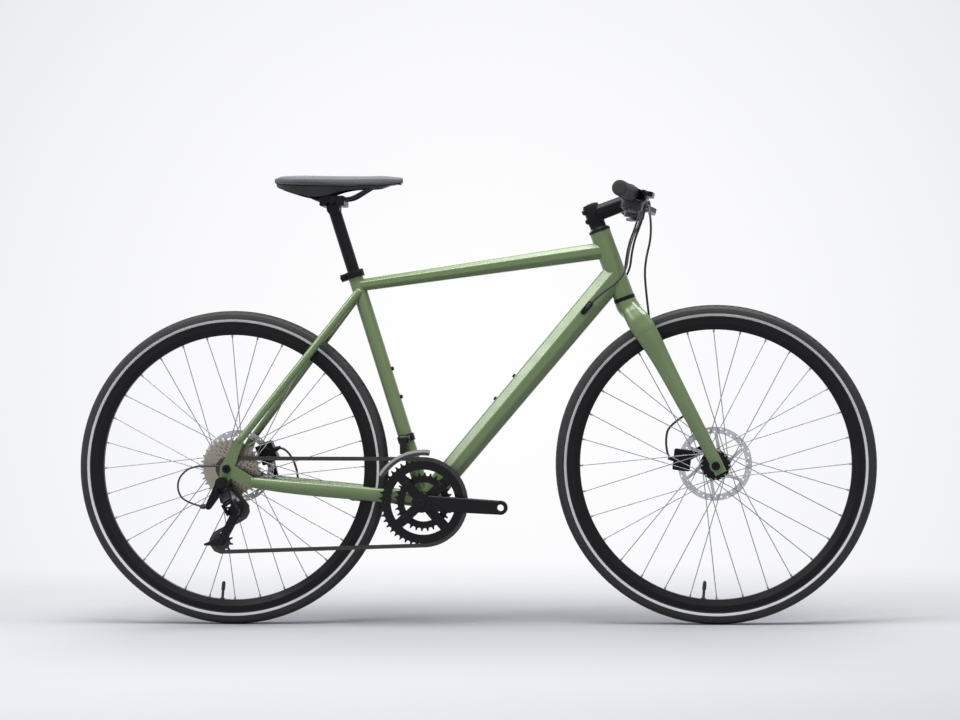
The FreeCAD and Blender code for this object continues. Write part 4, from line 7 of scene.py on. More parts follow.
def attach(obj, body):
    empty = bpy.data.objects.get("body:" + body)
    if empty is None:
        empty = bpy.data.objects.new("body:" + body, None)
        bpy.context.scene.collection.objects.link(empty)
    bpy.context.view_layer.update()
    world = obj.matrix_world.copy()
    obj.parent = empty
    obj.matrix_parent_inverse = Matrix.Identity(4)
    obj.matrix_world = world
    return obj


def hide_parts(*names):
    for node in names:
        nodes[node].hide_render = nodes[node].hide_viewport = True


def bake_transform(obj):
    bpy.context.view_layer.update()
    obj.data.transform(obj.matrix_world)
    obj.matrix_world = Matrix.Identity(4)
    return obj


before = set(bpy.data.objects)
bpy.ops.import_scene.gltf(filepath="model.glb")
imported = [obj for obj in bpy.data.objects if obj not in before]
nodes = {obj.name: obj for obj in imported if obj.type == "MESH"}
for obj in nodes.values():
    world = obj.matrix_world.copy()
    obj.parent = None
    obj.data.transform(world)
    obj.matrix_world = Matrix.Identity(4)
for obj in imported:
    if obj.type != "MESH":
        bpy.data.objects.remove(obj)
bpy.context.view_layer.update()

scene = bpy.context.scene
MM = 0.001


def metres(*point):
    return Vector(point) * MM


def srgb(red, green, blue):
    """Linear colour of an 8-bit display colour."""
    linear = []
    for part in (red, green, blue):
        share = part / 255
        linear.append(share / 12.92 if share <= 0.04045 else ((share + 0.055) / 1.055) ** 2.4)
    return (*linear, 1.0)


# Places on the bike in millimetres, and directions along it

FRONT_AXLE = (525, 0, 343)
REAR_AXLE = (-525, 0, 343)
WHEELS = (("front", FRONT_AXLE), ("rear", REAR_AXLE))
BRACKET = (-101.59, 0, 268)
STEER_UP = Vector((-0.333807, 0, 0.942641))
STEER_FRONT = Vector((0.942641, 0, 0.333807))
SEAT_UP = Vector((-0.292372, 0, 0.956305))
SEAT_FRONT = Vector((0.956305, 0, 0.292372))
LEFT = Vector((0, 1, 0))
RIGHT = -LEFT
FORWARD = Vector((1, 0, 0))
UP = Vector((0, 0, 1))


# Camera and light

CAMERA_AT = (0.4405, -4.5228, 0.5727)
CAMERA_YAW = 0.09269
CAMERA_ROLL = -0.01027
LENS = 78.49
SENSOR_WIDTH = 36
AMBIENT_STRENGTH = 0.15
# Cosine off the backdrop's middle where its white glow has faded to pale grey.
GLOW_EDGE = 0.955
# Name, place, target and size in metres, and power in watts.
LAMPS = (
    ("overhead_softbox", (0.25, -0.45, 2.9), (0.1, 0.0, 0.3), (3.0, 1.3), 112),
    ("side_key", (-2.1, -1.35, 2.55), (0.1, 0.0, 0.55), (1.6, 1.0), 40),
    ("camera_fill", (1.2, -4.2, 2.2), (0.0, 0.0, 0.5), (3.0, 2.0), 6),
    ("back_fill", (-1.6, 3.6, 2.4), (0.0, 0.0, 0.5), (2.6, 1.6), 30),
)


def add_object(name, data):
    made = bpy.data.objects.new(name, data)
    scene.collection.objects.link(made)
    return made


camera = add_object("camera", bpy.data.cameras.new("camera"))
camera.data.lens = LENS
camera.data.sensor_width = SENSOR_WIDTH
look_right = Vector((math.cos(CAMERA_YAW), math.sin(CAMERA_YAW), 0))
right_axis = look_right * math.cos(CAMERA_ROLL) + UP * math.sin(CAMERA_ROLL)
up_axis = UP * math.cos(CAMERA_ROLL) - look_right * math.sin(CAMERA_ROLL)
camera_turn = Matrix((right_axis, up_axis, right_axis.cross(up_axis))).transposed().to_4x4()
camera.matrix_world = Matrix.Translation(CAMERA_AT) @ camera_turn
scene.camera = camera
scene.view_settings.view_transform = "Standard"

for lamp_name, lamp_place, lamp_target, lamp_size, lamp_power in LAMPS:
    lamp = bpy.data.lights.new(lamp_name, "AREA")
    lamp.shape = "RECTANGLE"
    lamp.size, lamp.size_y = lamp_size
    lamp.energy = lamp_power
    hung = add_object(lamp_name, lamp)
    hung.location = lamp_place
    hung.rotation_euler = (Vector(lamp_target) - Vector(lamp_place)).to_track_quat("-Z", "Y").to_euler()


class Graph:
    """A node tree with short ways to add nodes and join them."""

    def __init__(self, tree):
        self.tree = tree
        tree.nodes.clear()

    def add(self, kind, values=None, **settings):
        node = self.tree.nodes.new("ShaderNode" + kind)
        for key, value in settings.items():
            setattr(node, key, value)
        for key, value in (values or {}).items():
            node.inputs[key].default_value = value
        return node

    def join(self, source, target):
        """Link an output to an input, or set the input to a fixed value."""
        if isinstance(source, bpy.types.NodeSocket):
            self.tree.links.new(source, target)
        else:
            target.default_value = source

    def math(self, operation, first, second=0.0, third=0.0):
        node = self.add("Math", operation=operation)
        for value, socket in zip((first, second, third), node.inputs):
            self.join(value, socket)
        return node.outputs[0]

    def spread(self, value, low, high, to_low=0.0, to_high=1.0, smooth=False):
        node = self.add("MapRange", {1: low, 2: high, 3: to_low, 4: to_high})
        node.interpolation_type = "SMOOTHSTEP" if smooth else "LINEAR"
        self.join(value, node.inputs[0])
        return node.outputs[0]

    def mix(self, share, first, second, kind="MIX"):
        node = self.add("Mix", data_type="RGBA", blend_type=kind)
        for value, index in ((share, 0), (first, 6), (second, 7)):
            self.join(value, node.inputs[index])
        return node.outputs[2]

    def noise(self, place, scale, detail=3.0, rough=0.5):
        node = self.add("TexNoise", {"Scale": scale, "Detail": detail, "Roughness": rough})
        self.join(place, node.inputs["Vector"])
        return node.outputs["Fac"]

    def cells(self, place, scale, feature="F1", output="Distance"):
        node = self.add("TexVoronoi", {"Scale": scale}, feature=feature)
        self.join(place, node.inputs["Vector"])
        return node.outputs[output]

    def bump(self, height, strength, distance):
        node = self.add("Bump", {"Strength": strength, "Distance": distance})
        self.join(height, node.inputs["Height"])
        return node.outputs[0]

    def stretched(self, place, scale, shift=(0, 0, 0)):
        node = self.add("Mapping", {"Location": shift, "Scale": scale})
        self.join(place, node.inputs["Vector"])
        return node.outputs[0]

    def length(self, place):
        node = self.add("VectorMath", operation="LENGTH")
        self.join(place, node.inputs[0])
        return node.outputs["Value"]


def add_world():
    """White backdrop for what the camera and reflections see, even grey light for the rest."""
    world = bpy.data.worlds.new("studio")
    scene.world = world
    world.use_nodes = True
    graph = Graph(world.node_tree)
    place = graph.add("TexCoord").outputs["Generated"]
    along = graph.add("VectorMath", operation="DOT_PRODUCT")
    graph.join(place, along.inputs[0])
    graph.join((-math.sin(CAMERA_YAW), math.cos(CAMERA_YAW), 0), along.inputs[1])
    glow = graph.spread(along.outputs["Value"], GLOW_EDGE, 1.0)
    tone = graph.mix(glow, srgb(232, 233, 238), srgb(254, 254, 255))
    shown = graph.add("Background")
    graph.join(tone, shown.inputs["Color"])
    ambient = graph.add("Background", {"Color": (0.95, 0.97, 1.0, 1.0), "Strength": AMBIENT_STRENGTH})
    rays = graph.add("LightPath")
    seen = graph.math("MAXIMUM", rays.outputs["Is Camera Ray"], rays.outputs["Is Glossy Ray"])
    seen = graph.math("MAXIMUM", seen, rays.outputs["Is Transmission Ray"])
    mixed = graph.add("MixShader")
    graph.join(seen, mixed.inputs[0])
    graph.join(ambient.outputs[0], mixed.inputs[1])
    graph.join(shown.outputs[0], mixed.inputs[2])
    graph.join(mixed.outputs[0], graph.add("OutputWorld").inputs["Surface"])


add_world()


# Materials

materials = {}


def surface(name, build, **sockets):
    """A procedural material: build(graph, place, shader) sets what varies over it."""
    made = bpy.data.materials.new(name)
    made.use_nodes = True
    graph = Graph(made.node_tree)
    shader = graph.add("BsdfPrincipled")
    graph.join(shader.outputs[0], graph.add("OutputMaterial").inputs["Surface"])
    for key, value in sockets.items():
        shader.inputs[key.replace("_", " ").title().replace("Ior", "IOR")].default_value = value
    place = graph.add("TexCoord").outputs["Object"]
    build(graph, place, shader)
    materials[name] = made


def paint_look(graph, place, shader):
    """Satin paint: slow drift of tone, fine metallic flake and a faint orange peel under the lacquer."""
    drift = graph.noise(place, 5, 2)
    flake = graph.cells(place, 2600, output="Color")
    tone = graph.mix(drift, srgb(92, 113, 69), srgb(103, 124, 79))
    tone = graph.mix(0.03, tone, flake, "OVERLAY")
    graph.join(tone, shader.inputs["Base Color"])
    graph.join(graph.spread(graph.noise(place, 40, 3), 0.3, 0.7, 0.30, 0.40), shader.inputs["Roughness"])
    graph.join(graph.bump(graph.noise(place, 90, 1), 0.02, 0.0006), shader.inputs["Normal"])


def metal_look(dark, light, rough_low, rough_high, grain=(900, 900, 900), strength=0.06):
    """Metal with a grain that can run one way, and slightly uneven polish."""

    def build(graph, place, shader):
        grain_noise = graph.noise(graph.stretched(place, grain), 1, 3)
        drift = graph.noise(place, 26, 3)
        share = graph.math("MULTIPLY_ADD", grain_noise, 0.5, graph.math("MULTIPLY", drift, 0.5))
        graph.join(graph.mix(share, dark, light), shader.inputs["Base Color"])
        graph.join(graph.spread(drift, 0.3, 0.7, rough_low, rough_high), shader.inputs["Roughness"])
        graph.join(graph.bump(grain_noise, strength, 0.0003), shader.inputs["Normal"])

    return build


def turned_look(dark, light, rough_low, rough_high, center):
    """Metal turned or ground round an axle, with fine rings."""

    def build(graph, place, shader):
        shift = tuple(-value * MM for value in center)
        wave = {"Scale": 260.0, "Distortion": 1.5, "Detail": 2.0, "Detail Scale": 3.0}
        rings = graph.add("TexWave", wave, wave_type="RINGS", rings_direction="Y")
        graph.join(graph.stretched(place, (1, 1, 1), shift), rings.inputs["Vector"])
        drift = graph.noise(place, 30, 3)
        share = graph.math("MULTIPLY_ADD", rings.outputs["Fac"], 0.4, graph.math("MULTIPLY", drift, 0.6))
        graph.join(graph.mix(share, dark, light), shader.inputs["Base Color"])
        graph.join(graph.spread(drift, 0.3, 0.7, rough_low, rough_high), shader.inputs["Roughness"])
        graph.join(graph.bump(rings.outputs["Fac"], 0.05, 0.0002), shader.inputs["Normal"])

    return build


# Distances from the bottom bracket, in metres, over which the bright lip and the black arm begin.
CHANGER_LIP = (0.1066, 0.1080)
CHANGER_ARM = (0.1131, 0.1137)


def changer_look(graph, place, shader):
    """Front derailleur: a pressed cage with a bright lip round the chainring, a black arm above it."""
    shift = tuple(-value * MM for value in BRACKET)
    distance = graph.length(graph.stretched(place, (1, 0, 1), shift))
    arm = graph.spread(distance, *CHANGER_ARM)
    drift = graph.noise(place, 40, 3)
    bright = graph.mix(drift, srgb(150, 149, 146), srgb(184, 183, 179))
    bright = graph.mix(graph.spread(distance, *CHANGER_LIP), srgb(70, 70, 70), bright)
    graph.join(graph.mix(arm, bright, srgb(24, 24, 26)), shader.inputs["Base Color"])
    graph.join(graph.spread(arm, 0, 1, 1.0, 0.6), shader.inputs["Metallic"])
    graph.join(graph.spread(drift, 0.3, 0.7, 0.26, 0.38), shader.inputs["Roughness"])
    graph.join(graph.bump(graph.noise(place, 900, 2), 0.06, 0.0003), shader.inputs["Normal"])


def rubber_look(dark, light, scale, strength, rough_low=0.55, rough_high=0.75):
    """Rubber with a moulded grain and a little dust in the low places."""

    def build(graph, place, shader):
        grain = graph.noise(place, scale, 4, 0.6)
        dust = graph.noise(place, 18, 4)
        graph.join(graph.mix(graph.spread(dust, 0.35, 0.75), dark, light), shader.inputs["Base Color"])
        graph.join(graph.spread(grain, 0.3, 0.7, rough_low, rough_high), shader.inputs["Roughness"])
        graph.join(graph.bump(grain, strength, 0.0005), shader.inputs["Normal"])

    return build


def leather_look(graph, place, shader):
    """Saddle cover: pebbled grain of two sizes, darker in its creases."""
    pebble = graph.cells(place, 620, "SMOOTH_F1")
    fine = graph.noise(place, 1800, 3)
    drift = graph.noise(place, 14, 3)
    height = graph.math("MULTIPLY_ADD", pebble, -1.0, graph.math("MULTIPLY", fine, 0.25))
    tone = graph.mix(drift, srgb(82, 84, 88), srgb(102, 104, 108))
    tone = graph.mix(graph.spread(pebble, 0.35, 0.75, 0.0, 0.45), tone, srgb(52, 53, 56))
    graph.join(tone, shader.inputs["Base Color"])
    graph.join(graph.spread(pebble, 0.1, 0.7, 0.48, 0.64), shader.inputs["Roughness"])
    graph.join(graph.bump(height, 0.35, 0.0008), shader.inputs["Normal"])


def stripe_look(graph, place, shader):
    """Reflective tape: pale grey with a fine bead texture."""
    bead = graph.cells(place, 1500)
    drift = graph.noise(place, 30, 3)
    tone = graph.mix(drift, srgb(208, 208, 210), srgb(230, 230, 232))
    tone = graph.mix(graph.spread(bead, 0.3, 0.7, 0.0, 0.35), tone, srgb(166, 166, 169))
    graph.join(tone, shader.inputs["Base Color"])
    graph.join(graph.spread(drift, 0.3, 0.7, 0.34, 0.46), shader.inputs["Roughness"])
    graph.join(graph.bump(bead, 0.15, 0.0003), shader.inputs["Normal"])


surface("frame_green", paint_look, metallic=0.12, coat_weight=0.55, coat_roughness=0.12)
surface("tyre_rubber", rubber_look(srgb(24, 24, 25), srgb(34, 34, 34), 1100, 0.2))
surface("grip_rubber", rubber_look(srgb(26, 26, 27), srgb(36, 36, 37), 900, 0.25))
surface("hose_black", rubber_look(srgb(20, 20, 21), srgb(30, 30, 31), 700, 0.06, 0.32, 0.44))
surface("moulded_black", rubber_look(srgb(28, 28, 30), srgb(40, 40, 42), 1300, 0.12, 0.42, 0.58))
surface("rim_black", metal_look(srgb(16, 16, 17), srgb(26, 26, 27), 0.34, 0.46), metallic=0.7)
surface("anodised_black", metal_look(srgb(15, 15, 17), srgb(25, 25, 27), 0.30, 0.42), metallic=0.75)
surface("coated_black", metal_look(srgb(18, 18, 20), srgb(29, 29, 31), 0.28, 0.40), metallic=0.7)
surface("spoke_steel", metal_look(srgb(140, 141, 144), srgb(154, 155, 158), 0.32, 0.40, (60, 60, 60), 0.01),
        metallic=1.0)
surface("changer_steel", changer_look)
surface("chain_steel", metal_look(srgb(58, 57, 56), srgb(80, 79, 77), 0.30, 0.44), metallic=1.0)
for wheel, axle in WHEELS:
    surface(f"{wheel}_rotor_steel", turned_look(srgb(176, 177, 180), srgb(208, 209, 212), 0.22, 0.34, axle),
            metallic=1.0)
surface("cog_steel", turned_look(srgb(138, 132, 120), srgb(172, 165, 152), 0.26, 0.38, REAR_AXLE), metallic=1.0)
surface("saddle_leather", leather_look)
surface("tape_grey", stripe_look)
surface("bolt_black", metal_look(srgb(24, 24, 25), srgb(38, 38, 39), 0.26, 0.36), metallic=0.8)

# What the CAD nodes are made of; the others are anodised black.
NODE_LOOKS = {
    "frame_green": ("head_tube", "top_tube", "down_tube", "seat_tube", "bottom_bracket_shell", "chainstays",
                    "seatstays", "dropouts", "fork_crown", "fork_legs"),
    "rim_black": ("front_rim", "rear_rim"),
    "spoke_steel": ("front_spokes", "rear_spokes"),
    "front_rotor_steel": ("front_rotor",),
    "rear_rotor_steel": ("rear_rotor",),
    "cog_steel": ("cassette",),
    "changer_steel": ("front_derailleur_cage",),
    "chain_steel": ("chain",),
    "coated_black": ("chainrings", "crank_arm_right", "crank_arm_left", "derailleur_cage", "derailleur_link_inner",
                     "derailleur_link_outer", "saddle_rails"),
    "moulded_black": ("shifter_pods", "saddle_base", "guide_pulley", "tension_pulley", "shift_lever_left",
                      "shift_lever_right"),
    "hose_black": ("control_cables", "front_brake_hose", "rear_cables"),
    "grip_rubber": ("grips",),
    "tyre_rubber": ("front_tyre", "rear_tyre"),
    "saddle_leather": ("saddle_pad",),
}
for made in nodes.values():
    made.data.materials.clear()
    look = next((key for key, names in NODE_LOOKS.items() if made.name in names), "anodised_black")
    made.data.materials.append(materials[look])


# Edges that are broken by a small round, with its width in millimetres
EDGE_ROUNDS = {
    "stem": 0.9, "stem_faceplate": 0.8, "shifter_pods": 1.2, "brake_lever_bodies": 0.9, "brake_lever_left": 1.8,
    "brake_lever_right": 1.8, "shift_lever_left": 1.0, "shift_lever_right": 1.0, "front_brake_caliper": 0.9,
    "rear_brake_caliper": 0.9, "crank_arm_right": 1.2, "crank_arm_left": 1.6, "derailleur_mount": 0.8,
    "derailleur_knuckle": 0.8, "derailleur_link_outer": 0.8, "seat_clamp": 0.8, "saddle_clamp": 0.9,
    "dropouts": 0.9, "front_derailleur_clamp": 0.7,
}
WELD_REACH = 0.00001
ROUND_FROM = math.radians(50)
for name, width in EDGE_ROUNDS.items():
    weld = nodes[name].modifiers.new("joined_edges", "WELD")
    weld.merge_threshold = WELD_REACH
    rounding = nodes[name].modifiers.new("broken_edges", "BEVEL")
    rounding.width = width * MM
    rounding.segments = 2
    rounding.limit_method = "ANGLE"
    rounding.angle_limit = ROUND_FROM
    rounding.harden_normals = True


# Meshes from rings of points


def band_faces(rows, count, base, looped):
    """Quads from each ring to the next, and from the last to the first where looped."""
    faces = []
    for row in range(rows if looped else rows - 1):
        near, far = base + row * count, base + (row + 1) % rows * count
        for column in range(count):
            following = (column + 1) % count
            faces.append((near + column, near + following, far + following, far + column))
    return faces


def joined(name, ring_sets, closed=True, looped=False):
    """One mesh from several sets of rings, each set closed at both ends, left open or looped."""
    points, faces = [], []
    for rings in ring_sets:
        base, count = len(points), len(rings[0])
        last = base + (len(rings) - 1) * count
        points += [point for ring in rings for point in ring]
        faces += band_faces(len(rings), count, base, looped)
        if closed:
            faces.append(tuple(reversed(range(base, base + count))))
            faces.append(tuple(range(last, last + count)))
    mesh = bpy.data.meshes.new(name)
    mesh.from_pydata(points, [], faces)
    mesh.validate()
    mesh.update()
    return mesh


# Floor, in metres

FLOOR_RADIUS = 3.2
FLOOR_RINGS = 24
FLOOR_SECTORS = 72
FLOOR_EYE = 0.02
# A painted shadow, a soft grey band below the bike, fades out along it and to its sides; the floor fades into the
# backdrop.
PAINTED_SHADOW_SHARE = 0.72
PAINTED_SHADOW_ENDS = (0.5, 1.05)
PAINTED_SHADOW_SIDES = (0.04, 0.9)
FADE_SCALE = (0.6, 1, 1)
FADE_SHIFT = (0, 0.6, 0)
FADE_REACH = (0.75, 2.0)


def floor_look(graph, place, shader):
    """Pale floor with a painted shadow, a grey band under the bike, clear at its rim."""
    tone = graph.mix(graph.noise(place, 1.5, 3), srgb(197, 198, 202), srgb(201, 202, 206))
    parts = graph.add("SeparateXYZ")
    graph.join(place, parts.inputs[0])
    beside = graph.math("ABSOLUTE", parts.outputs["Y"])
    ends = graph.spread(graph.math("ABSOLUTE", parts.outputs["X"]), *PAINTED_SHADOW_ENDS, 1.0, 0.0, smooth=True)
    # Painted shadow: the floor darkens toward grey in a band under the bike.
    band = graph.math("MULTIPLY", graph.spread(beside, *PAINTED_SHADOW_SIDES, PAINTED_SHADOW_SHARE, 0.0, smooth=True), ends)
    graph.join(graph.mix(band, tone, srgb(162, 163, 169)), shader.inputs["Base Color"])
    graph.join(graph.bump(graph.noise(place, 60, 3), 0.02, 0.001), shader.inputs["Normal"])
    distance = graph.length(graph.stretched(place, FADE_SCALE, FADE_SHIFT))
    graph.join(graph.spread(distance, *FADE_REACH, 1.0, 0.0, smooth=True), shader.inputs["Alpha"])


surface("floor_pale", floor_look, roughness=0.85, specular_ior_level=0.1)
floor_rings = []
for row in range(1, FLOOR_RINGS + 1):
    reach = FLOOR_RADIUS * row / FLOOR_RINGS
    floor_rings.append([(reach * math.cos(math.tau * step / FLOOR_SECTORS),
                         reach * math.sin(math.tau * step / FLOOR_SECTORS), 0)
                        for step in range(FLOOR_SECTORS)])
floor_rings.insert(0, [Vector(point) * FLOOR_EYE for point in floor_rings[0]])
floor = add_object("floor", joined("floor", [floor_rings], closed=False))
floor.data.materials.append(materials["floor_pale"])


# Making pieces

SHARP_ANGLE = math.radians(38)


def piece(name, mesh, look, body, sharp=SHARP_ANGLE):
    """A visible piece that rides on a body; with no body, it is left unattached."""
    made = add_object(name, mesh)
    mesh.materials.append(materials[look])
    mesh.shade_smooth()
    mesh.set_sharp_from_angle(angle=sharp)
    if body:
        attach(made, body)
    return made


def trim_piece(name, ring_sets, look, body):
    return piece(name, joined(name, ring_sets), look, body)


def axes_along(direction):
    direction = Vector(direction).normalized()
    helper = UP if abs(direction.z) < 0.9 else FORWARD
    first = direction.cross(helper).normalized()
    return direction, first, direction.cross(first)


FLUTED = 1
HEXAGON = 2


def lathe_rings(profile, origin, direction, count=32, flutes=0, flute_depth=0.0):
    """Rings of points round an axis: a row is a distance along it, a radius and, at will, FLUTED or HEXAGON."""
    along, first, second = axes_along(direction)
    rings = []
    for distance, radius, *shape in profile:
        ring = []
        for step in range(count):
            angle = math.tau * step / count
            reach = radius
            if HEXAGON in shape:
                reach *= math.cos(math.pi / 6) / math.cos(angle % (math.pi / 3) - math.pi / 6)
            elif FLUTED in shape:
                reach -= flute_depth * (0.5 - 0.5 * math.cos(flutes * angle))
            ring.append((Vector(origin) + along * distance
                         + (first * math.cos(angle) + second * math.sin(angle)) * reach) * MM)
        rings.append(ring)
    return rings


BOLT_SEAT = 0.3
BOLT_POINTS = 36
# Bolt heads by their places: radius, height and the socket's share of the radius.
BOLTS = {
    "top_cap": (4.3, 2.4, 0.55), "faceplate": (3.6, 1.6, 0.6), "stem_ear": (3.4, 1.0, 0.6), "lid": (2.2, 0.6, 0.5),
    "lever_clamp": (3.4, 2.0, 0.55), "lever_pivot": (4.6, 1.4, 0.5), "boss": (4.1, 1.4, 0.55),
    "seat_clamp": (4.4, 3.2, 0.5), "hanger": (10.4, 1.8, 0.32), "changer": (4.0, 1.3, 0.5),
    "caliper": (3.3, 2.0, 0.55), "ring_front": (5.4, 1.6, 0.5), "ring_back": (5.4, 1.4, 0.5),
    "spindle": (8.4, 1.4, 0.55), "saddle_clamp": (5.8, 2.6, 0.5), "cage": (5.4, 1.2, 0.45),
}


def bolt_rings(kind, at, direction):
    """Round bolt head with a hexagon socket, standing on a point."""
    radius, height, socket_share = BOLTS[kind]
    socket = radius * socket_share
    profile = ((-BOLT_SEAT, radius), (height * 0.7, radius), (height * 0.92, radius * 0.93),
               (height, radius * 0.82), (height, socket * 1.1, HEXAGON), (height * 0.9, socket, HEXAGON),
               (height * 0.15, socket, HEXAGON))
    return lathe_rings(profile, at, direction, BOLT_POINTS)


CORNER_STEPS = 6
LEAST_BEND = 0.05


def slab_rings(center, along, across, sizes, corner, edge):
    """Rounded slab: its outline lies along and across, its thickness on the third side."""
    along, across = Vector(along).normalized(), Vector(across).normalized()
    rise = along.cross(across)
    length, width, depth = (value / 2 for value in sizes)
    rings = []
    for height, inset in ((-depth, edge), (-depth + edge * 0.3, edge * 0.3), (-depth + edge, 0), (depth - edge, 0),
                          (depth - edge * 0.3, edge * 0.3), (depth, edge)):
        ring = []
        for corner_u, corner_v, start in ((1, 1, 0), (-1, 1, 90), (-1, -1, 180), (1, -1, 270)):
            for step in range(CORNER_STEPS + 1):
                angle = math.radians(start + step * 90 / CORNER_STEPS)
                bend = max(corner - inset, LEAST_BEND)
                u = corner_u * (length - corner) + bend * math.cos(angle)
                v = corner_v * (width - corner) + bend * math.sin(angle)
                ring.append((Vector(center) + along * u + across * v + rise * height) * MM)
        rings.append(ring)
    return rings


# Tyres with tread, stripes and valves

SECTION_RADIUS = 16
SECTION_CENTER = 327
TREAD_BLOCKS = 132
BLOCK_STEPS = (0.0, 0.06, 0.17, 0.23, 0.62)
SIPE_STEPS = (0.06, 0.17)
TREAD_SLANT = 0.9
SLANT_END = 60
SIPE_DEPTH = 0.9
GROOVE_DEPTH = 1.1
BEAD_ANGLE = 128
BEAD_RADIUS = 315.4
BEAD_INSETS = (10.2, -10.2)
# Over half the section: angle from the tread's middle, and the shares of groove and sipe depth there.
SECTION_LINES = ((0, 0, 0), (6, 0, 0), (9, 0, 0), (10, 1, 0), (13, 1, 0), (14, 0, 0), (18, 0, 0), (20, 0, 1),
                 (30, 0, 1), (42, 0, 1), (45, 0, 0), (52, 0, 0), (60, 0, 0), (62, -0.3, 0), (64, 0, 0), (72, 0, 0),
                 (80, 0, 0), (88, 0, 0), (95, 0, 0), (96.5, -0.3, 0), (98, 0, 0), (106, 0, 0), (113, 0, 0),
                 (121, 0, 0), (BEAD_ANGLE, 0, 0))


def wheel_point(axle, spin, angle, sink):
    """A point of the tyre's section at an angle from the tread's middle, turned round the axle."""
    section = math.radians(angle)
    radius = SECTION_RADIUS - sink
    reach = SECTION_CENTER + radius * math.cos(section)
    return metres(axle[0] + reach * math.cos(spin), radius * math.sin(section), axle[2] + reach * math.sin(spin))


def tyre_mesh(name, axle):
    """Tread with grooves round it and slanted sipes across, sidewalls, and a band inside from bead to bead."""
    lines = [(-angle, groove, sipe) for angle, groove, sipe in reversed(SECTION_LINES[1:])] + list(SECTION_LINES)
    pitch = math.tau / TREAD_BLOCKS
    places = [(block, step) for block in range(TREAD_BLOCKS) for step in BLOCK_STEPS]
    rings = []
    for angle, groove, sipe in lines:
        ring = []
        slant = TREAD_SLANT * min(abs(angle), SLANT_END) / SLANT_END
        for block, step in places:
            sink = GROOVE_DEPTH * groove + (SIPE_DEPTH * sipe if step in SIPE_STEPS else 0)
            ring.append(wheel_point(axle, (block + step + slant) * pitch, angle, sink))
        rings.append(ring)
    for inset in BEAD_INSETS:
        spins = [(block + step) * pitch + TREAD_SLANT * pitch for block, step in places]
        rings.append([metres(axle[0] + BEAD_RADIUS * math.cos(spin), inset, axle[2] + BEAD_RADIUS * math.sin(spin))
                      for spin in spins])
    rings.append(rings[0])
    return joined(name, [rings], closed=False)


# Over a stripe: angle from the tread's middle, and height above the tyre.
STRIPE_LINES = ((100.4, -0.2), (101.0, 0.25), (105, 0.3), (110, 0.32), (115, 0.3), (120.4, 0.25), (121.0, -0.2))
STRIPE_STEPS = 360


def stripe_mesh(name, axle):
    spins = [math.tau * step / STRIPE_STEPS for step in range(STRIPE_STEPS)]
    sets = [[[wheel_point(axle, spin, side * angle, -lift) for spin in spins] for angle, lift in STRIPE_LINES]
            for side in (-1, 1)]
    return joined(name, sets, closed=False, looped=True)


VALVE_OUT = Vector((math.cos(math.radians(264.4)), 0, math.sin(math.radians(264.4))))
VALVE_REACH = 290
VALVE_PROFILE = ((0, 0.01), (0, 5.2), (-2.2, 5.2), (-2.6, 4.8), (-2.6, 3.0), (-20, 3.0), (-20, 4.1),
                 (-20.6, 4.4, FLUTED), (-34, 4.1, FLUTED), (-38, 3.0), (-39, 1.5), (-39, 0.01))

for wheel, axle in WHEELS:
    body = f"{wheel}_wheel"
    tyre = piece(f"{wheel}_tyre_tread", tyre_mesh(f"{wheel}_tyre_tread", axle), "tyre_rubber", body)
    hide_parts(f"{wheel}_tyre")
    piece(f"{wheel}_tyre_stripe", stripe_mesh(f"{wheel}_tyre_stripe", axle), "tape_grey", body)
    valve = lathe_rings(VALVE_PROFILE, Vector(axle) + VALVE_OUT * VALVE_REACH, VALVE_OUT, 36, 12, 0.5)
    trim_piece(f"{wheel}_valve", [valve], "moulded_black", body)


# Cables and hoses: their routes in millimetres, as in the part's source

CABLE_ROUTES = {
    "shift_cable_right": ((368.3, -113.8, 891.9), (372.4, -80.1, 891.9), (362.0, -1.2, 862.9), (341.1, 22.5, 814.1),
                          (332.5, 37.2, 744.2), (271.8, 29.5, 707.3), (248.2, 23.3, 679.8)),
    "brake_hose_right": ((384.0, -95.6, 911.5), (387.7, -65.8, 911.5), (373.4, -13.2, 866.9), (352.4, 22.5, 818.2),
                         (343.8, 49.2, 748.2), (276.0, 41.5, 703.7), (252.4, 23.3, 676.2)),
    "shift_cable_left": ((368.3, 113.8, 891.9), (372.4, 80.1, 891.9), (367.7, 7.2, 864.9), (346.8, -22.5, 816.1),
                         (338.1, -43.2, 746.2), (273.9, -35.5, 705.5), (250.3, -23.3, 678.0)),
    "front_hose_upper": ((384.0, 95.6, 911.5), (388.2, 61.9, 911.5), (394.5, 36.0, 841.8), (378.4, 29.2, 779.6),
                         (378.5, 34.6, 728.7), (389.3, 34.6, 637.1)),
    "front_hose_lower": ((471.6, 49.0, 454.2), (427.6, 49.0, 428.2), (418.8, 49.0, 397.0), (423.8, 43.7, 355.4),
                         (435.7, 43.7, 354.0)),
    "derailleur_housing": ((-536.8, -71.0, 348.5), (-594.4, -73.9, 353.3), (-627.1, -77.7, 330.3),
                           (-632.8, -82.0, 300.5), (-617.0, -84.5, 273.0), (-577.0, -84.5, 263.0)),
    "rear_brake_hose": ((-392.7, 56.7, 303.7), (-392.7, 56.7, 339.7), (-424.5, 61.2, 387.7), (-442.8, 61.2, 379.6)),
}
HOSE_RADIUS = 2.5
HOUSING_RADIUS = 2.1
# Piece, radius in millimetres, length in metres and the node it stands for.
CABLES = (
    ("shift_cable_right", HOUSING_RADIUS, 0.348, "control_cables"),
    ("brake_hose_right", HOSE_RADIUS, 0.354, "control_cables"),
    ("shift_cable_left", HOUSING_RADIUS, 0.352, "control_cables"),
    ("front_hose_upper", HOSE_RADIUS, 0.311, "front_brake_hose"),
    ("front_hose_lower", HOSE_RADIUS, 0.134, "front_brake_hose"),
    ("derailleur_housing", HOUSING_RADIUS, 0.196, "rear_cables"),
    ("rear_brake_hose", HOSE_RADIUS, 0.110, "rear_cables"),
)


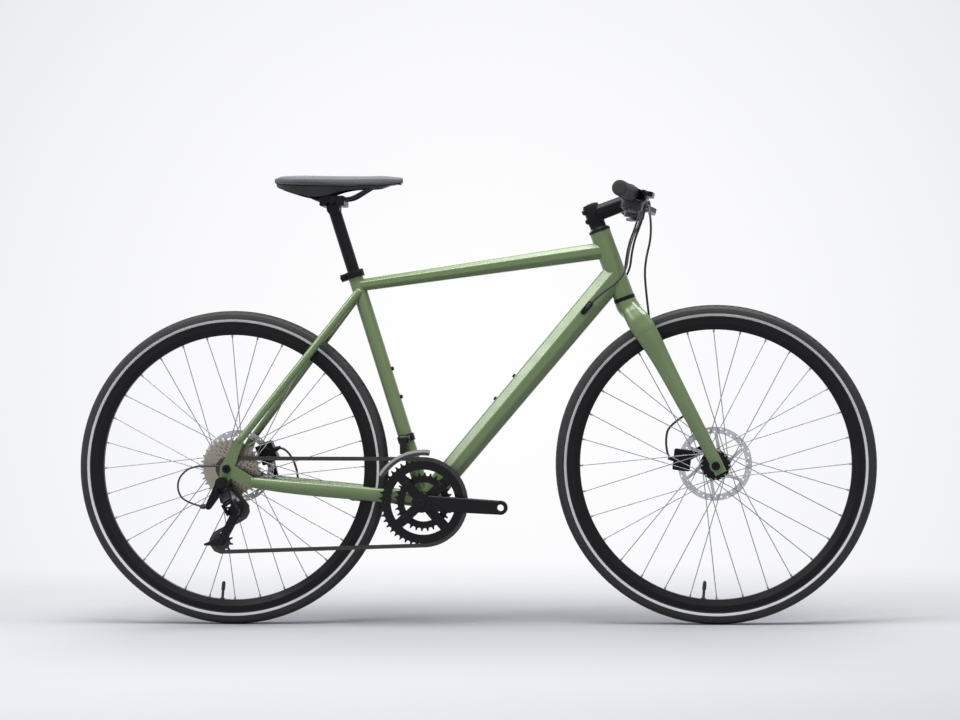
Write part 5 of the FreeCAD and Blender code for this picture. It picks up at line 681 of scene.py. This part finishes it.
def route_curve(name, points):
    """A bare smooth line along a route."""
    data = bpy.data.curves.new(name, "CURVE")
    data.dimensions = "3D"
    spline = data.splines.new("NURBS")
    spline.points.add(len(points) - 1)
    for control, point in zip(spline.points, points):
        control.co = (*metres(*point), 1.0)
    spline.order_u = 3
    spline.use_endpoint_u = True
    spline.resolution_u = 14
    data.bevel_resolution = 5
    data.use_fill_caps = True
    return data


for name, radius, length, node in CABLES:
    bare = add_object(name + "_line", route_curve(name + "_line", CABLE_ROUTES[name]))
    line = [vertex.co.copy() for vertex in bpy.data.meshes.new_from_object(bare).vertices]
    bare.data.bevel_depth = radius * MM
    tube = bpy.data.meshes.new_from_object(bare)
    bpy.data.objects.remove(bare)
    tube.name = name
    if node == "control_cables":
        made = piece(name, tube, "hose_black", None)
        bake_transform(made)
    else:
        made = piece(name, tube, "hose_black", "steering" if "front" in name else "frame")
    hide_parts(node)


# Grips

BAR_END = Vector((333.79, -300, 916.83))
SWEEP_OUT = Vector((-0.1219, -0.9925, 0))
GRIP_RADIUS = 16.5
GRIP_COLUMNS = 96
GRIP_ROWS = 132
# Rows of distance from the outer end and radius: the closed end, the span of the tread and the flange.
GRIP_END = ((-0.4, 9.0), (-0.4, 14.2), (0.4, 15.8), (2.0, 16.4))
GRIP_START = 4
GRIP_SPAN = 121
GRIP_FLANGE = ((127.2, 17.6), (128.0, 18.8), (130.8, 18.8), (131.6, 18.0), (131.6, 12.4))
TREAD_FROM, TREAD_TO = 10, 118
PLAIN_FROM, PLAIN_TO = 60, 66
PLAIN_SINK = 0.25
DIAMONDS_ROUND = 24
DIAMOND_LENGTH = 9.0
DIAMOND_DEPTH = 1.65


def grip_mesh(name, end, out):
    """Rubber grip: closed outer end, diamond tread over the palm, plain bands and a flange inboard."""
    along, first, second = axes_along(-out)
    middle = [(GRIP_START + GRIP_SPAN * step / (GRIP_ROWS - 1), GRIP_RADIUS) for step in range(GRIP_ROWS)]
    rings = []
    for distance, radius in (*GRIP_END, *middle, *GRIP_FLANGE):
        patterned = TREAD_FROM < distance < TREAD_TO and not PLAIN_FROM < distance < PLAIN_TO
        ring = []
        for step in range(GRIP_COLUMNS):
            angle = math.tau * step / GRIP_COLUMNS
            sink = PLAIN_SINK
            if patterned:
                turn = DIAMONDS_ROUND * angle / 2
                run = math.pi * distance / DIAMOND_LENGTH
                ridge = max(abs(math.sin(turn + run)), abs(math.sin(turn - run)))
                sink = DIAMOND_DEPTH * (1 - ridge)
            outward = first * math.cos(angle) + second * math.sin(angle)
            ring.append((end + along * distance + outward * (radius - sink)) * MM)
        rings.append(ring)
    return joined(name, [rings])


for side, mirror in (("right", 1), ("left", -1)):
    end = Vector((BAR_END.x, BAR_END.y * mirror, BAR_END.z))
    out = Vector((SWEEP_OUT.x, SWEEP_OUT.y * mirror, 0))
    grip = piece(f"grip_{side}", grip_mesh(f"grip_{side}", end, out), "grip_rubber", "steering")
    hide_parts("grips")


# Saddle

SADDLE_TAIL = -418.6
SADDLE_LOW = 929.9
SADDLE_LENGTH = 270
SADDLE_HEIGHT = 53
SADDLE_HALF = 79
# Along the saddle from its tail, as shares: place, half width, and heights of the crown and the lower edge.
SADDLE_SHARES = ((0.0, 0.46, 0.84, 0.58), (0.06, 0.80, 0.89, 0.50), (0.20, 1.0, 0.90, 0.44),
                 (0.36, 0.84, 0.89, 0.42), (0.50, 0.53, 0.88, 0.42), (0.68, 0.33, 0.88, 0.44),
                 (0.86, 0.27, 0.86, 0.46), (1.0, 0.16, 0.79, 0.54))
SADDLE_STATIONS = 90
SADDLE_COLUMNS = 72
WAIST_SHARE = 0.42
SIDE_POWER, TOP_POWER, BELOW_POWER = 0.8, 0.72, 0.42
TOP_FROM = 0.25
CHANNEL_WIDTH, CHANNEL_DEPTH = 7.5, 4.2
SEAM_PLACE, SEAM_WIDTH, SEAM_DEPTH = 0.52, 1.3, 1.3
PUCKER_WIDTH, PUCKER_SHARE = 5, 0.35
# Where the channel and the seams run along the saddle: start, rise, end and fall.
CHANNEL_RUN = (0.06, 0.1, 0.82, 0.14)
SEAM_RUN = (0.02, 0.05, 0.97, 0.05)
SADDLE_SHARP = math.radians(60)
# Rounded ends: distance beyond the last section, and its scale.
SADDLE_ENDS = ((1.6, 0.97), (2.8, 0.86), (3.6, 0.6), (3.9, 0.2))


def smooth_share(share, column):
    """A column of the saddle's table at a share of its length, on a smooth line through the rows."""
    rows = SADDLE_SHARES
    for index in range(len(rows) - 1):
        if share <= rows[index + 1][0]:
            break
    before, after = rows[index], rows[index + 1]
    span = after[0] - before[0]
    t = (share - before[0]) / span

    def slope(place):
        low, high = max(place - 1, 0), min(place + 1, len(rows) - 1)
        return (rows[high][column] - rows[low][column]) / (rows[high][0] - rows[low][0])

    start, end = slope(index) * span, slope(index + 1) * span
    return ((2 * t ** 3 - 3 * t ** 2 + 1) * before[column] + (t ** 3 - 2 * t ** 2 + t) * start
            + (3 * t ** 2 - 2 * t ** 3) * after[column] + (t ** 3 - t ** 2) * end)


def bell(value, middle, width):
    return math.exp(-((value - middle) / width) ** 2)


def between(share, start, rise, end, fall):
    """Zero outside the start and the end and one inside, ramped over the rise and the fall."""
    return max(0.0, min(1.0, (share - start) / rise, (end - share) / fall))


def saddle_section(share):
    """One closed ring of the pad: flat below, full sides, crowned top with a centre channel and sewn lines."""
    half = SADDLE_HALF * smooth_share(share, 1)
    high = SADDLE_HEIGHT * smooth_share(share, 2)
    low = SADDLE_HEIGHT * smooth_share(share, 3)
    middle = low + (high - low) * WAIST_SHARE
    ring = []
    for step in range(SADDLE_COLUMNS):
        angle = math.tau * step / SADDLE_COLUMNS
        across, rise = math.cos(angle), math.sin(angle)
        span, power = (high - middle, TOP_POWER) if rise > 0 else (middle - low, BELOW_POWER)
        width = half * math.copysign(abs(across) ** SIDE_POWER, across)
        z = middle + span * math.copysign(abs(rise) ** power, rise)
        if rise > TOP_FROM:
            channel = bell(width, 0, CHANNEL_WIDTH) * CHANNEL_DEPTH * between(share, *CHANNEL_RUN)
            seam_at = half * SEAM_PLACE
            seam = bell(abs(width), seam_at, SEAM_WIDTH) + bell(abs(width), seam_at, PUCKER_WIDTH) * PUCKER_SHARE
            z -= channel + seam * SEAM_DEPTH * between(share, *SEAM_RUN)
        ring.append(metres(SADDLE_TAIL + share * SADDLE_LENGTH, width, SADDLE_LOW + z))
    return ring


def saddle_end(section, way):
    middle = sum(section, Vector()) / len(section)
    return [[middle + (point - middle) * scale + Vector((way * depth * MM, 0, 0)) for point in section]
            for depth, scale in SADDLE_ENDS]


sections = [saddle_section(step / SADDLE_STATIONS) for step in range(SADDLE_STATIONS + 1)]
saddle_rings = saddle_end(sections[0], -1)[::-1] + sections + saddle_end(sections[-1], 1)
saddle = piece("saddle_cover", joined("saddle_cover", [saddle_rings]), "saddle_leather", "saddle",
               SADDLE_SHARP)
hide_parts("saddle_pad")


# Seatstays and the blend of the fork's crown into its legs

OVAL_POINTS = 28
STAY_TOP = Vector((-253.62, 0, 765.28)) - SEAT_UP * 42
STAY_TOP_SIDE = 13
STAY_LOW = Vector((-497, 0, 403))
STAY_LOW_SIDE = 71
STAY_HALVES = (7.5, 9)
STAY_TAPER = 1
STAY_ROWS = 40
# Rounded ends of a stay: scale of the section, and distance beyond it.
STAY_CAP = ((0.25, 4.4), (0.6, 3.9), (0.86, 2.4), (0.97, 0.9))


def oval_ring(center, direction, half_width, half_height, count=OVAL_POINTS):
    """Ring of an oval tube: its half width lies across the bike, its half height square to that."""
    direction = direction.normalized()
    across = (LEFT - direction * direction.dot(LEFT)).normalized()
    rise = direction.cross(across)
    return [center + across * (half_width * math.cos(math.tau * step / count))
            + rise * (half_height * math.sin(math.tau * step / count)) for step in range(count)]


def in_metres(rings):
    return [[Vector(point) * MM for point in ring] for ring in rings]


stay_sets = []
for side in (-1, 1):
    top = STAY_TOP + LEFT * (STAY_TOP_SIDE * side)
    low = STAY_LOW + LEFT * (STAY_LOW_SIDE * side)
    run = low - top
    way = run.normalized()
    wide, tall = STAY_HALVES
    rings = [oval_ring(top - way * reach, run, wide * share, tall * share) for share, reach in STAY_CAP]
    for step in range(STAY_ROWS + 1):
        taper = STAY_TAPER * step / STAY_ROWS
        rings.append(oval_ring(top + run * (step / STAY_ROWS), run, wide - taper, tall - taper))
    rings += [oval_ring(low + way * reach, run, (wide - STAY_TAPER) * share, (tall - STAY_TAPER) * share)
              for share, reach in reversed(STAY_CAP)]
    stay_sets.append(in_metres(rings))
stays = piece("seatstay_tubes", joined("seatstay_tubes", stay_sets), "frame_green", "frame")
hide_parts("seatstays")

CROWN_SEAT = Vector((335.754, 0, 697.669))
LEG_REACH = 416.5
LEG_OFFSET = 65
LEG_SPREAD = 59.7
# Down a leg's top: shares of its reach, offset and spread, then half width and half depth.
LEG_ROWS = ((0.025, 0.02, 0.20, 8.4, 14.5), (0.075, 0.09, 0.34, 10.2, 20.0), (0.12, 0.18, 0.475, 11.5, 24.0),
            (0.18, 0.27, 0.58, 11.8, 25.0), (0.24, 0.338, 0.61, 11.2, 23.6), (0.29, 0.4, 0.635, 10.65, 21.75))
# Down the crown: depth below its seat, forward shift, half width and half depth.
CROWN_ROWS = ((-7, 0, 21, 21), (-1, 0, 22.8, 22.8), (6, 0.2, 23.2, 23), (16, 1.5, 23.8, 22.8), (26, 4, 24.4, 21.6),
              (36, 7.5, 24, 19.4), (46, 11.5, 21, 15.5), (53, 14, 15, 10))
CROWN_POINTS = 48
CROWN_VOXEL = 0.0022
CROWN_PASSES = 20
CROWN_EASE = 0.5
CROWN_SHARP = math.radians(80)
STEERER_RADIUS = 14.3
STEERER_SPAN = (-10, 217)
# Depth below the crown's seat, and how far the blend stands off the crown and legs there.
BLEND_LIFTS = ((-7, -0.6), (0, 0.4), (14, 1.8), (26, 2.3), (44, 2.0), (66, 1.6), (104, -0.6), (130, -2.6))


def lift_at(depth):
    """How far the blend stands off at a depth, on straight lines through the rows."""
    for (start, first), (end, second) in zip(BLEND_LIFTS, BLEND_LIFTS[1:]):
        if depth <= end:
            return first + (second - first) * max(depth - start, 0) / (end - start)
    return BLEND_LIFTS[-1][1]


def leg_top(side):
    """The rings of a leg's upper end, each square to the leg's run there."""
    centers = []
    for reach, offset, spread, half_width, half_depth in LEG_ROWS:
        center = (CROWN_SEAT - STEER_UP * (reach * LEG_REACH) + STEER_FRONT * (offset * LEG_OFFSET)
                  + LEFT * (side * spread * LEG_SPREAD))
        centers.append((center, half_width, half_depth))
    rings = []
    for index, (center, half_width, half_depth) in enumerate(centers):
        before, after = centers[max(index - 1, 0)][0], centers[min(index + 1, len(centers) - 1)][0]
        rings.append(oval_ring(center, after - before, half_width, half_depth))
    return in_metres(rings)


crown_rings = []
for depth, shift, half_width, half_depth in CROWN_ROWS:
    center = CROWN_SEAT - STEER_UP * depth + STEER_FRONT * shift
    crown_rings.append(oval_ring(center, -STEER_UP, half_width, half_depth, CROWN_POINTS))
crown_source = joined("crown_source", [leg_top(-1), leg_top(1), in_metres(crown_rings)])
crown_maker = add_object("crown_maker", crown_source)
merging = crown_maker.modifiers.new("merged", "REMESH")
merging.mode = "VOXEL"
merging.voxel_size = CROWN_VOXEL
easing = crown_maker.modifiers.new("eased", "SMOOTH")
easing.factor = CROWN_EASE
easing.iterations = CROWN_PASSES
bpy.context.view_layer.update()
crown_mesh = bpy.data.meshes.new_from_object(crown_maker.evaluated_get(bpy.context.evaluated_depsgraph_get()))
bpy.data.objects.remove(crown_maker)
lifts = []
for vertex in crown_mesh.vertices:
    depth = (CROWN_SEAT * MM - vertex.co).dot(STEER_UP) / MM
    lifts.append(vertex.normal * (lift_at(depth) * MM))
for vertex, lift in zip(crown_mesh.vertices, lifts):
    vertex.co += lift
crown_mesh.name = "crown_blend"
crown = piece("crown_blend", crown_mesh, "frame_green", "steering", CROWN_SHARP)
steerer_tube = lathe_rings([(reach, STEERER_RADIUS) for reach in STEERER_SPAN], CROWN_SEAT, STEER_UP, CROWN_POINTS)
steerer = trim_piece("fork_steerer", [steerer_tube], "anodised_black", "steering")
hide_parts("fork_crown")
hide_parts("fork_crown")


# Bolts, caps and covers, placed in millimetres

STEM_ALONG = Vector((0.939693, 0, 0.34202))
STEM_RISE = Vector((-0.34202, 0, 0.939693))
STEM_TOP = Vector((263.22, 0, 902.5))
STEM_MIDDLE = Vector((269.89, 0, 883.65))
BAR_MIDDLE = Vector((361.04, 0, 916.83))
TOP_CAP_RISE = 2.5
FACEPLATE_ACROSS, FACEPLATE_RISE, FACEPLATE_AHEAD = 15, 18.4, 9.6
EAR_RISE, EAR_BACK, EAR_HALF = 10.5, 17.5, 10

# Places at a lever: out along the bar, forward to the lever and up, from its middle.
LEVER_MIDDLE = Vector((351.09, -159.06, 916.83))
LEVER_TILT = math.radians(12)
LEVER_LID, LEVER_LID_SIZES = (-27, 25.5, 8.6), (48, 15, 3.4)
SHIFTER_LID, SHIFTER_LID_SIZES = (-30, 5.5, -11.6), (27, 36, 1.8)
LID_BOLTS = ((-45, 25.5, 10.3), (-9, 25.5, 10.3))
LEVER_CLAMP = (0, 18, -7.5)
LEVER_PIVOTS = ((1, (7, 30, 10.3)), (-1, (7, 30, -10.3)))
HOSE_NUT = (-66, 25.5, 0)
BARREL_PLACE = (-47, 16.5, -22)

DOWN_ALONG = Vector((0.651274, 0, 0.758843))
DOWN_RISE = Vector((-0.758843, 0, 0.651274))
# The down tube grows deeper along its length: half depth at the bracket, growth and length.
DOWN_HALF, DOWN_GROWTH, DOWN_LENGTH = 24, 3.5, 640.8
DOWN_BOSSES = (268, 332)
DOWN_BOSS_RISE = 3
SEAT_BOSSES = (232, 296)
SEAT_BOSS_OUT = 19
SEAT_CLAMP_EAR = Vector((-275.79, 0, 754.84)) - SEAT_FRONT * 3.25
SEAT_CLAMP_HALF = 8.5
HANGER_BOLT = Vector((-533, 0, 313)) + RIGHT * 97.6
CHANGER_BAND = Vector((-143.11, -39.5, 403.8))
CHANGER_EARS = (-11.2, 11.2)

FRONT_DISC, FRONT_CALIPER_ANGLE = Vector((525, 34.7, 343)), 173
REAR_DISC, REAR_CALIPER_ANGLE = Vector((-525, 52.2, 343)), 24
CALIPER_FACES = ((18, LEFT), (-9.5, RIGHT))
PISTON_REACH = 69
CALIPER_BOLT_REACH, CALIPER_BOLT_TURNS = 83, (-17.5, 17.5)
BANJO_REACH, BANJO_SIDE = 90, 9

RING_BOLT_ANGLES = (41.4, 131.4, 221.4, 311.4)
RING_BOLT_REACH, RING_FRONT, RING_BACK = 52, 55.9, 41.1
SPINDLE_END = 80
SADDLE_CLAMP = Vector((-296.6, 0, 921.36))
SADDLE_CLAMP_HALF = 31.5
CAGE_PIVOT = Vector((-539.52, -69.6, 185.68))
CABLE_BARREL_AT = Vector((-563, -84.5, 263))
LINK_FOOT = Vector((-525.88, -93.5, 292.67))
LINK_RUN = Vector((12.03, -29.11, -21.26))
LINK_AXIS = Vector((0.870356, 0, 0.492424))
LINK_COVER_OUT, LINK_COVER_SIZES = 5.2, (34, 25, 3.0)

# Turned pieces, for lathe_rings.
EAR_PROFILE = ((-10, 3.6), (-9.4, 5.2), (9.4, 5.2), (10, 3.6))
NUT_PROFILE = ((-6, 5.4), (2, 5.6, HEXAGON), (7, 5.6, HEXAGON), (7.6, 4.4), (12, 4.0), (17, 3.2), (18, 2.7))
SHIFTER_BARREL = ((-1, 4.2), (1, 4.2), (1.6, 5.0, FLUTED), (9.4, 5.0, FLUTED), (10, 4.0), (14, 3.2), (14.6, 2.3))
PISTON_COVER = ((-0.5, 13), (1.4, 13), (2.2, 12.2), (2.2, 8.6), (1.2, 8.0), (1.2, 0.1))
BANJO_PROFILE = ((-2, 5.6), (0, 5.8, HEXAGON), (5, 5.8, HEXAGON), (5.6, 4.2), (11, 3.6), (12, 2.8))
CABLE_BARREL = ((4, 4.4), (7, 4.4), (7.6, 5.6, FLUTED), (15, 5.6, FLUTED), (15.6, 4.4), (19, 3.4), (19.6, 2.3))
FERRULE_PROFILE = ((0, 3.4), (5, 3.4), (6, 3.6), (11, 3.2), (11.6, 2.6))
FERRULE_SHARE = 0.2


def polar(angle, reach):
    turn = math.radians(angle)
    return Vector((math.cos(turn), 0, math.sin(turn))) * reach


def lever_axes(mirror):
    """Directions beside a lever: out along the bar, forward to the lever and up."""
    out = Vector((SWEEP_OUT.x, SWEEP_OUT.y * mirror, 0)).normalized()
    flat = Vector((-out.y * mirror, out.x * mirror, 0))
    front = flat * math.cos(LEVER_TILT) - UP * math.sin(LEVER_TILT)
    rise = flat * math.sin(LEVER_TILT) + UP * math.cos(LEVER_TILT)
    return out, front, rise


steering_bolts = [bolt_rings("top_cap", STEM_TOP + STEER_UP * TOP_CAP_RISE, STEER_UP)]
for across in (-FACEPLATE_ACROSS, FACEPLATE_ACROSS):
    for rise in (-FACEPLATE_RISE, FACEPLATE_RISE):
        face = BAR_MIDDLE + LEFT * across + STEM_RISE * rise + STEM_ALONG * FACEPLATE_AHEAD
        steering_bolts.append(bolt_rings("faceplate", face, STEM_ALONG))
clamp_ears = []
for rise in (-EAR_RISE, EAR_RISE):
    ear = STEM_MIDDLE - STEER_FRONT * EAR_BACK + STEER_UP * rise
    clamp_ears.append(lathe_rings(EAR_PROFILE, ear, LEFT, 36))
    steering_bolts.append(bolt_rings("stem_ear", ear + RIGHT * EAR_HALF, RIGHT))
trim_piece("stem_clamp_ears", clamp_ears, "anodised_black", "steering")

lids, nuts, barrels = [], [], []
for mirror in (1, -1):
    out, front, rise = lever_axes(mirror)
    root = Vector((LEVER_MIDDLE.x, LEVER_MIDDLE.y * mirror, LEVER_MIDDLE.z))

    def on_bar(x, y, z):
        return root + out * x + front * y + rise * z

    lids.append(slab_rings(on_bar(*LEVER_LID), out, front, LEVER_LID_SIZES, 5, 1.2))
    for place in LID_BOLTS:
        steering_bolts.append(bolt_rings("lid", on_bar(*place), rise))
    steering_bolts.append(bolt_rings("lever_clamp", on_bar(*LEVER_CLAMP), -rise))
    for face, place in LEVER_PIVOTS:
        steering_bolts.append(bolt_rings("lever_pivot", on_bar(*place), rise * face))
    nuts.append(lathe_rings(NUT_PROFILE, on_bar(*HOSE_NUT), -out, 36))
    barrels.append(lathe_rings(SHIFTER_BARREL, on_bar(*BARREL_PLACE), -out, 48, 16, 0.7))
    lids.append(slab_rings(on_bar(*SHIFTER_LID), out, front, SHIFTER_LID_SIZES, 6, 0.7))
trim_piece("lever_lids", lids, "moulded_black", "steering")
trim_piece("hose_nuts", nuts, "bolt_black", "steering")
trim_piece("shifter_barrels", barrels, "moulded_black", "steering")

frame_bolts = []
for reach in DOWN_BOSSES:
    top = DOWN_HALF + DOWN_GROWTH * reach / DOWN_LENGTH + DOWN_BOSS_RISE
    boss = Vector(BRACKET) + DOWN_ALONG * reach + DOWN_RISE * top
    frame_bolts.append(bolt_rings("boss", boss, DOWN_RISE))
for reach in SEAT_BOSSES:
    boss = Vector(BRACKET) + SEAT_UP * reach + SEAT_FRONT * SEAT_BOSS_OUT
    frame_bolts.append(bolt_rings("boss", boss, SEAT_FRONT))
for way in (RIGHT, LEFT):
    frame_bolts.append(bolt_rings("seat_clamp", SEAT_CLAMP_EAR + way * SEAT_CLAMP_HALF, way))
frame_bolts.append(bolt_rings("hanger", HANGER_BOLT, RIGHT))
for ahead in CHANGER_EARS:
    frame_bolts.append(bolt_rings("changer", CHANGER_BAND + FORWARD * ahead, FORWARD * ahead))


def caliper_trim(center, angle):
    """Bolts, piston covers and the hose fitting of a caliper, by their places round its rotor."""
    trim, fitting = [], []
    side_way = polar(angle + 90, 1)
    for face, way in CALIPER_FACES:
        piston = center + polar(angle, PISTON_REACH) + LEFT * face
        fitting.append(lathe_rings(PISTON_COVER, piston, way, 40))
        for turn in CALIPER_BOLT_TURNS:
            bolt = center + polar(angle, CALIPER_BOLT_REACH) + side_way * turn + LEFT * face
            trim.append(bolt_rings("caliper", bolt, way))
    banjo = center + polar(angle, BANJO_REACH) + LEFT * BANJO_SIDE
    fitting.append(lathe_rings(BANJO_PROFILE, banjo, polar(angle, 1), 36))
    return trim, fitting


front_trim, front_fitting = caliper_trim(FRONT_DISC, FRONT_CALIPER_ANGLE)
rear_trim, rear_fitting = caliper_trim(REAR_DISC, REAR_CALIPER_ANGLE)
trim_piece("front_caliper_covers", front_fitting, "coated_black", "steering")
trim_piece("rear_caliper_covers", rear_fitting, "coated_black", "frame")
trim_piece("steering_bolts", steering_bolts + front_trim, "bolt_black", "steering")
trim_piece("frame_bolts", frame_bolts + rear_trim, "bolt_black", "frame")

crank_bolts = []
for angle in RING_BOLT_ANGLES:
    tip = Vector(BRACKET) + polar(angle, RING_BOLT_REACH)
    crank_bolts.append(bolt_rings("ring_front", tip + RIGHT * RING_FRONT, RIGHT))
    crank_bolts.append(bolt_rings("ring_back", tip + RIGHT * RING_BACK, LEFT))
for way in (RIGHT, LEFT):
    crank_bolts.append(bolt_rings("spindle", Vector(BRACKET) + way * SPINDLE_END, way))
trim_piece("crank_bolts", crank_bolts, "bolt_black", "crank")

saddle_bolts = [bolt_rings("saddle_clamp", SADDLE_CLAMP + way * SADDLE_CLAMP_HALF, way) for way in (RIGHT, LEFT)]
trim_piece("saddle_bolts", saddle_bolts, "bolt_black", "saddle")
trim_piece("cage_bolts", [bolt_rings("cage", CAGE_PIVOT, RIGHT)], "bolt_black", "derailleur_cage")
cable_barrel = lathe_rings(CABLE_BARREL, CABLE_BARREL_AT, -FORWARD, 48, 16, 0.8)
trim_piece("derailleur_barrel", [cable_barrel], "moulded_black", "frame")

link_out = LINK_RUN.cross(LINK_AXIS).normalized()
link_middle = LINK_FOOT + LINK_RUN * 0.5 + link_out * LINK_COVER_OUT
cover = slab_rings(link_middle, LINK_RUN, LINK_AXIS, LINK_COVER_SIZES, 7, 1.3)
trim_piece("derailleur_cover", [cover], "anodised_black", "derailleur_link_outer")

ferrules = []
for name, _, _, node in CABLES:
    if node == "control_cables":
        inner, outer = Vector(CABLE_ROUTES[name][-1]), Vector(CABLE_ROUTES[name][-2])
        port = inner + (outer - inner) * FERRULE_SHARE
        ferrules.append(lathe_rings(FERRULE_PROFILE, port, outer - inner))
trim_piece("port_ferrules", ferrules, "moulded_black", "frame")
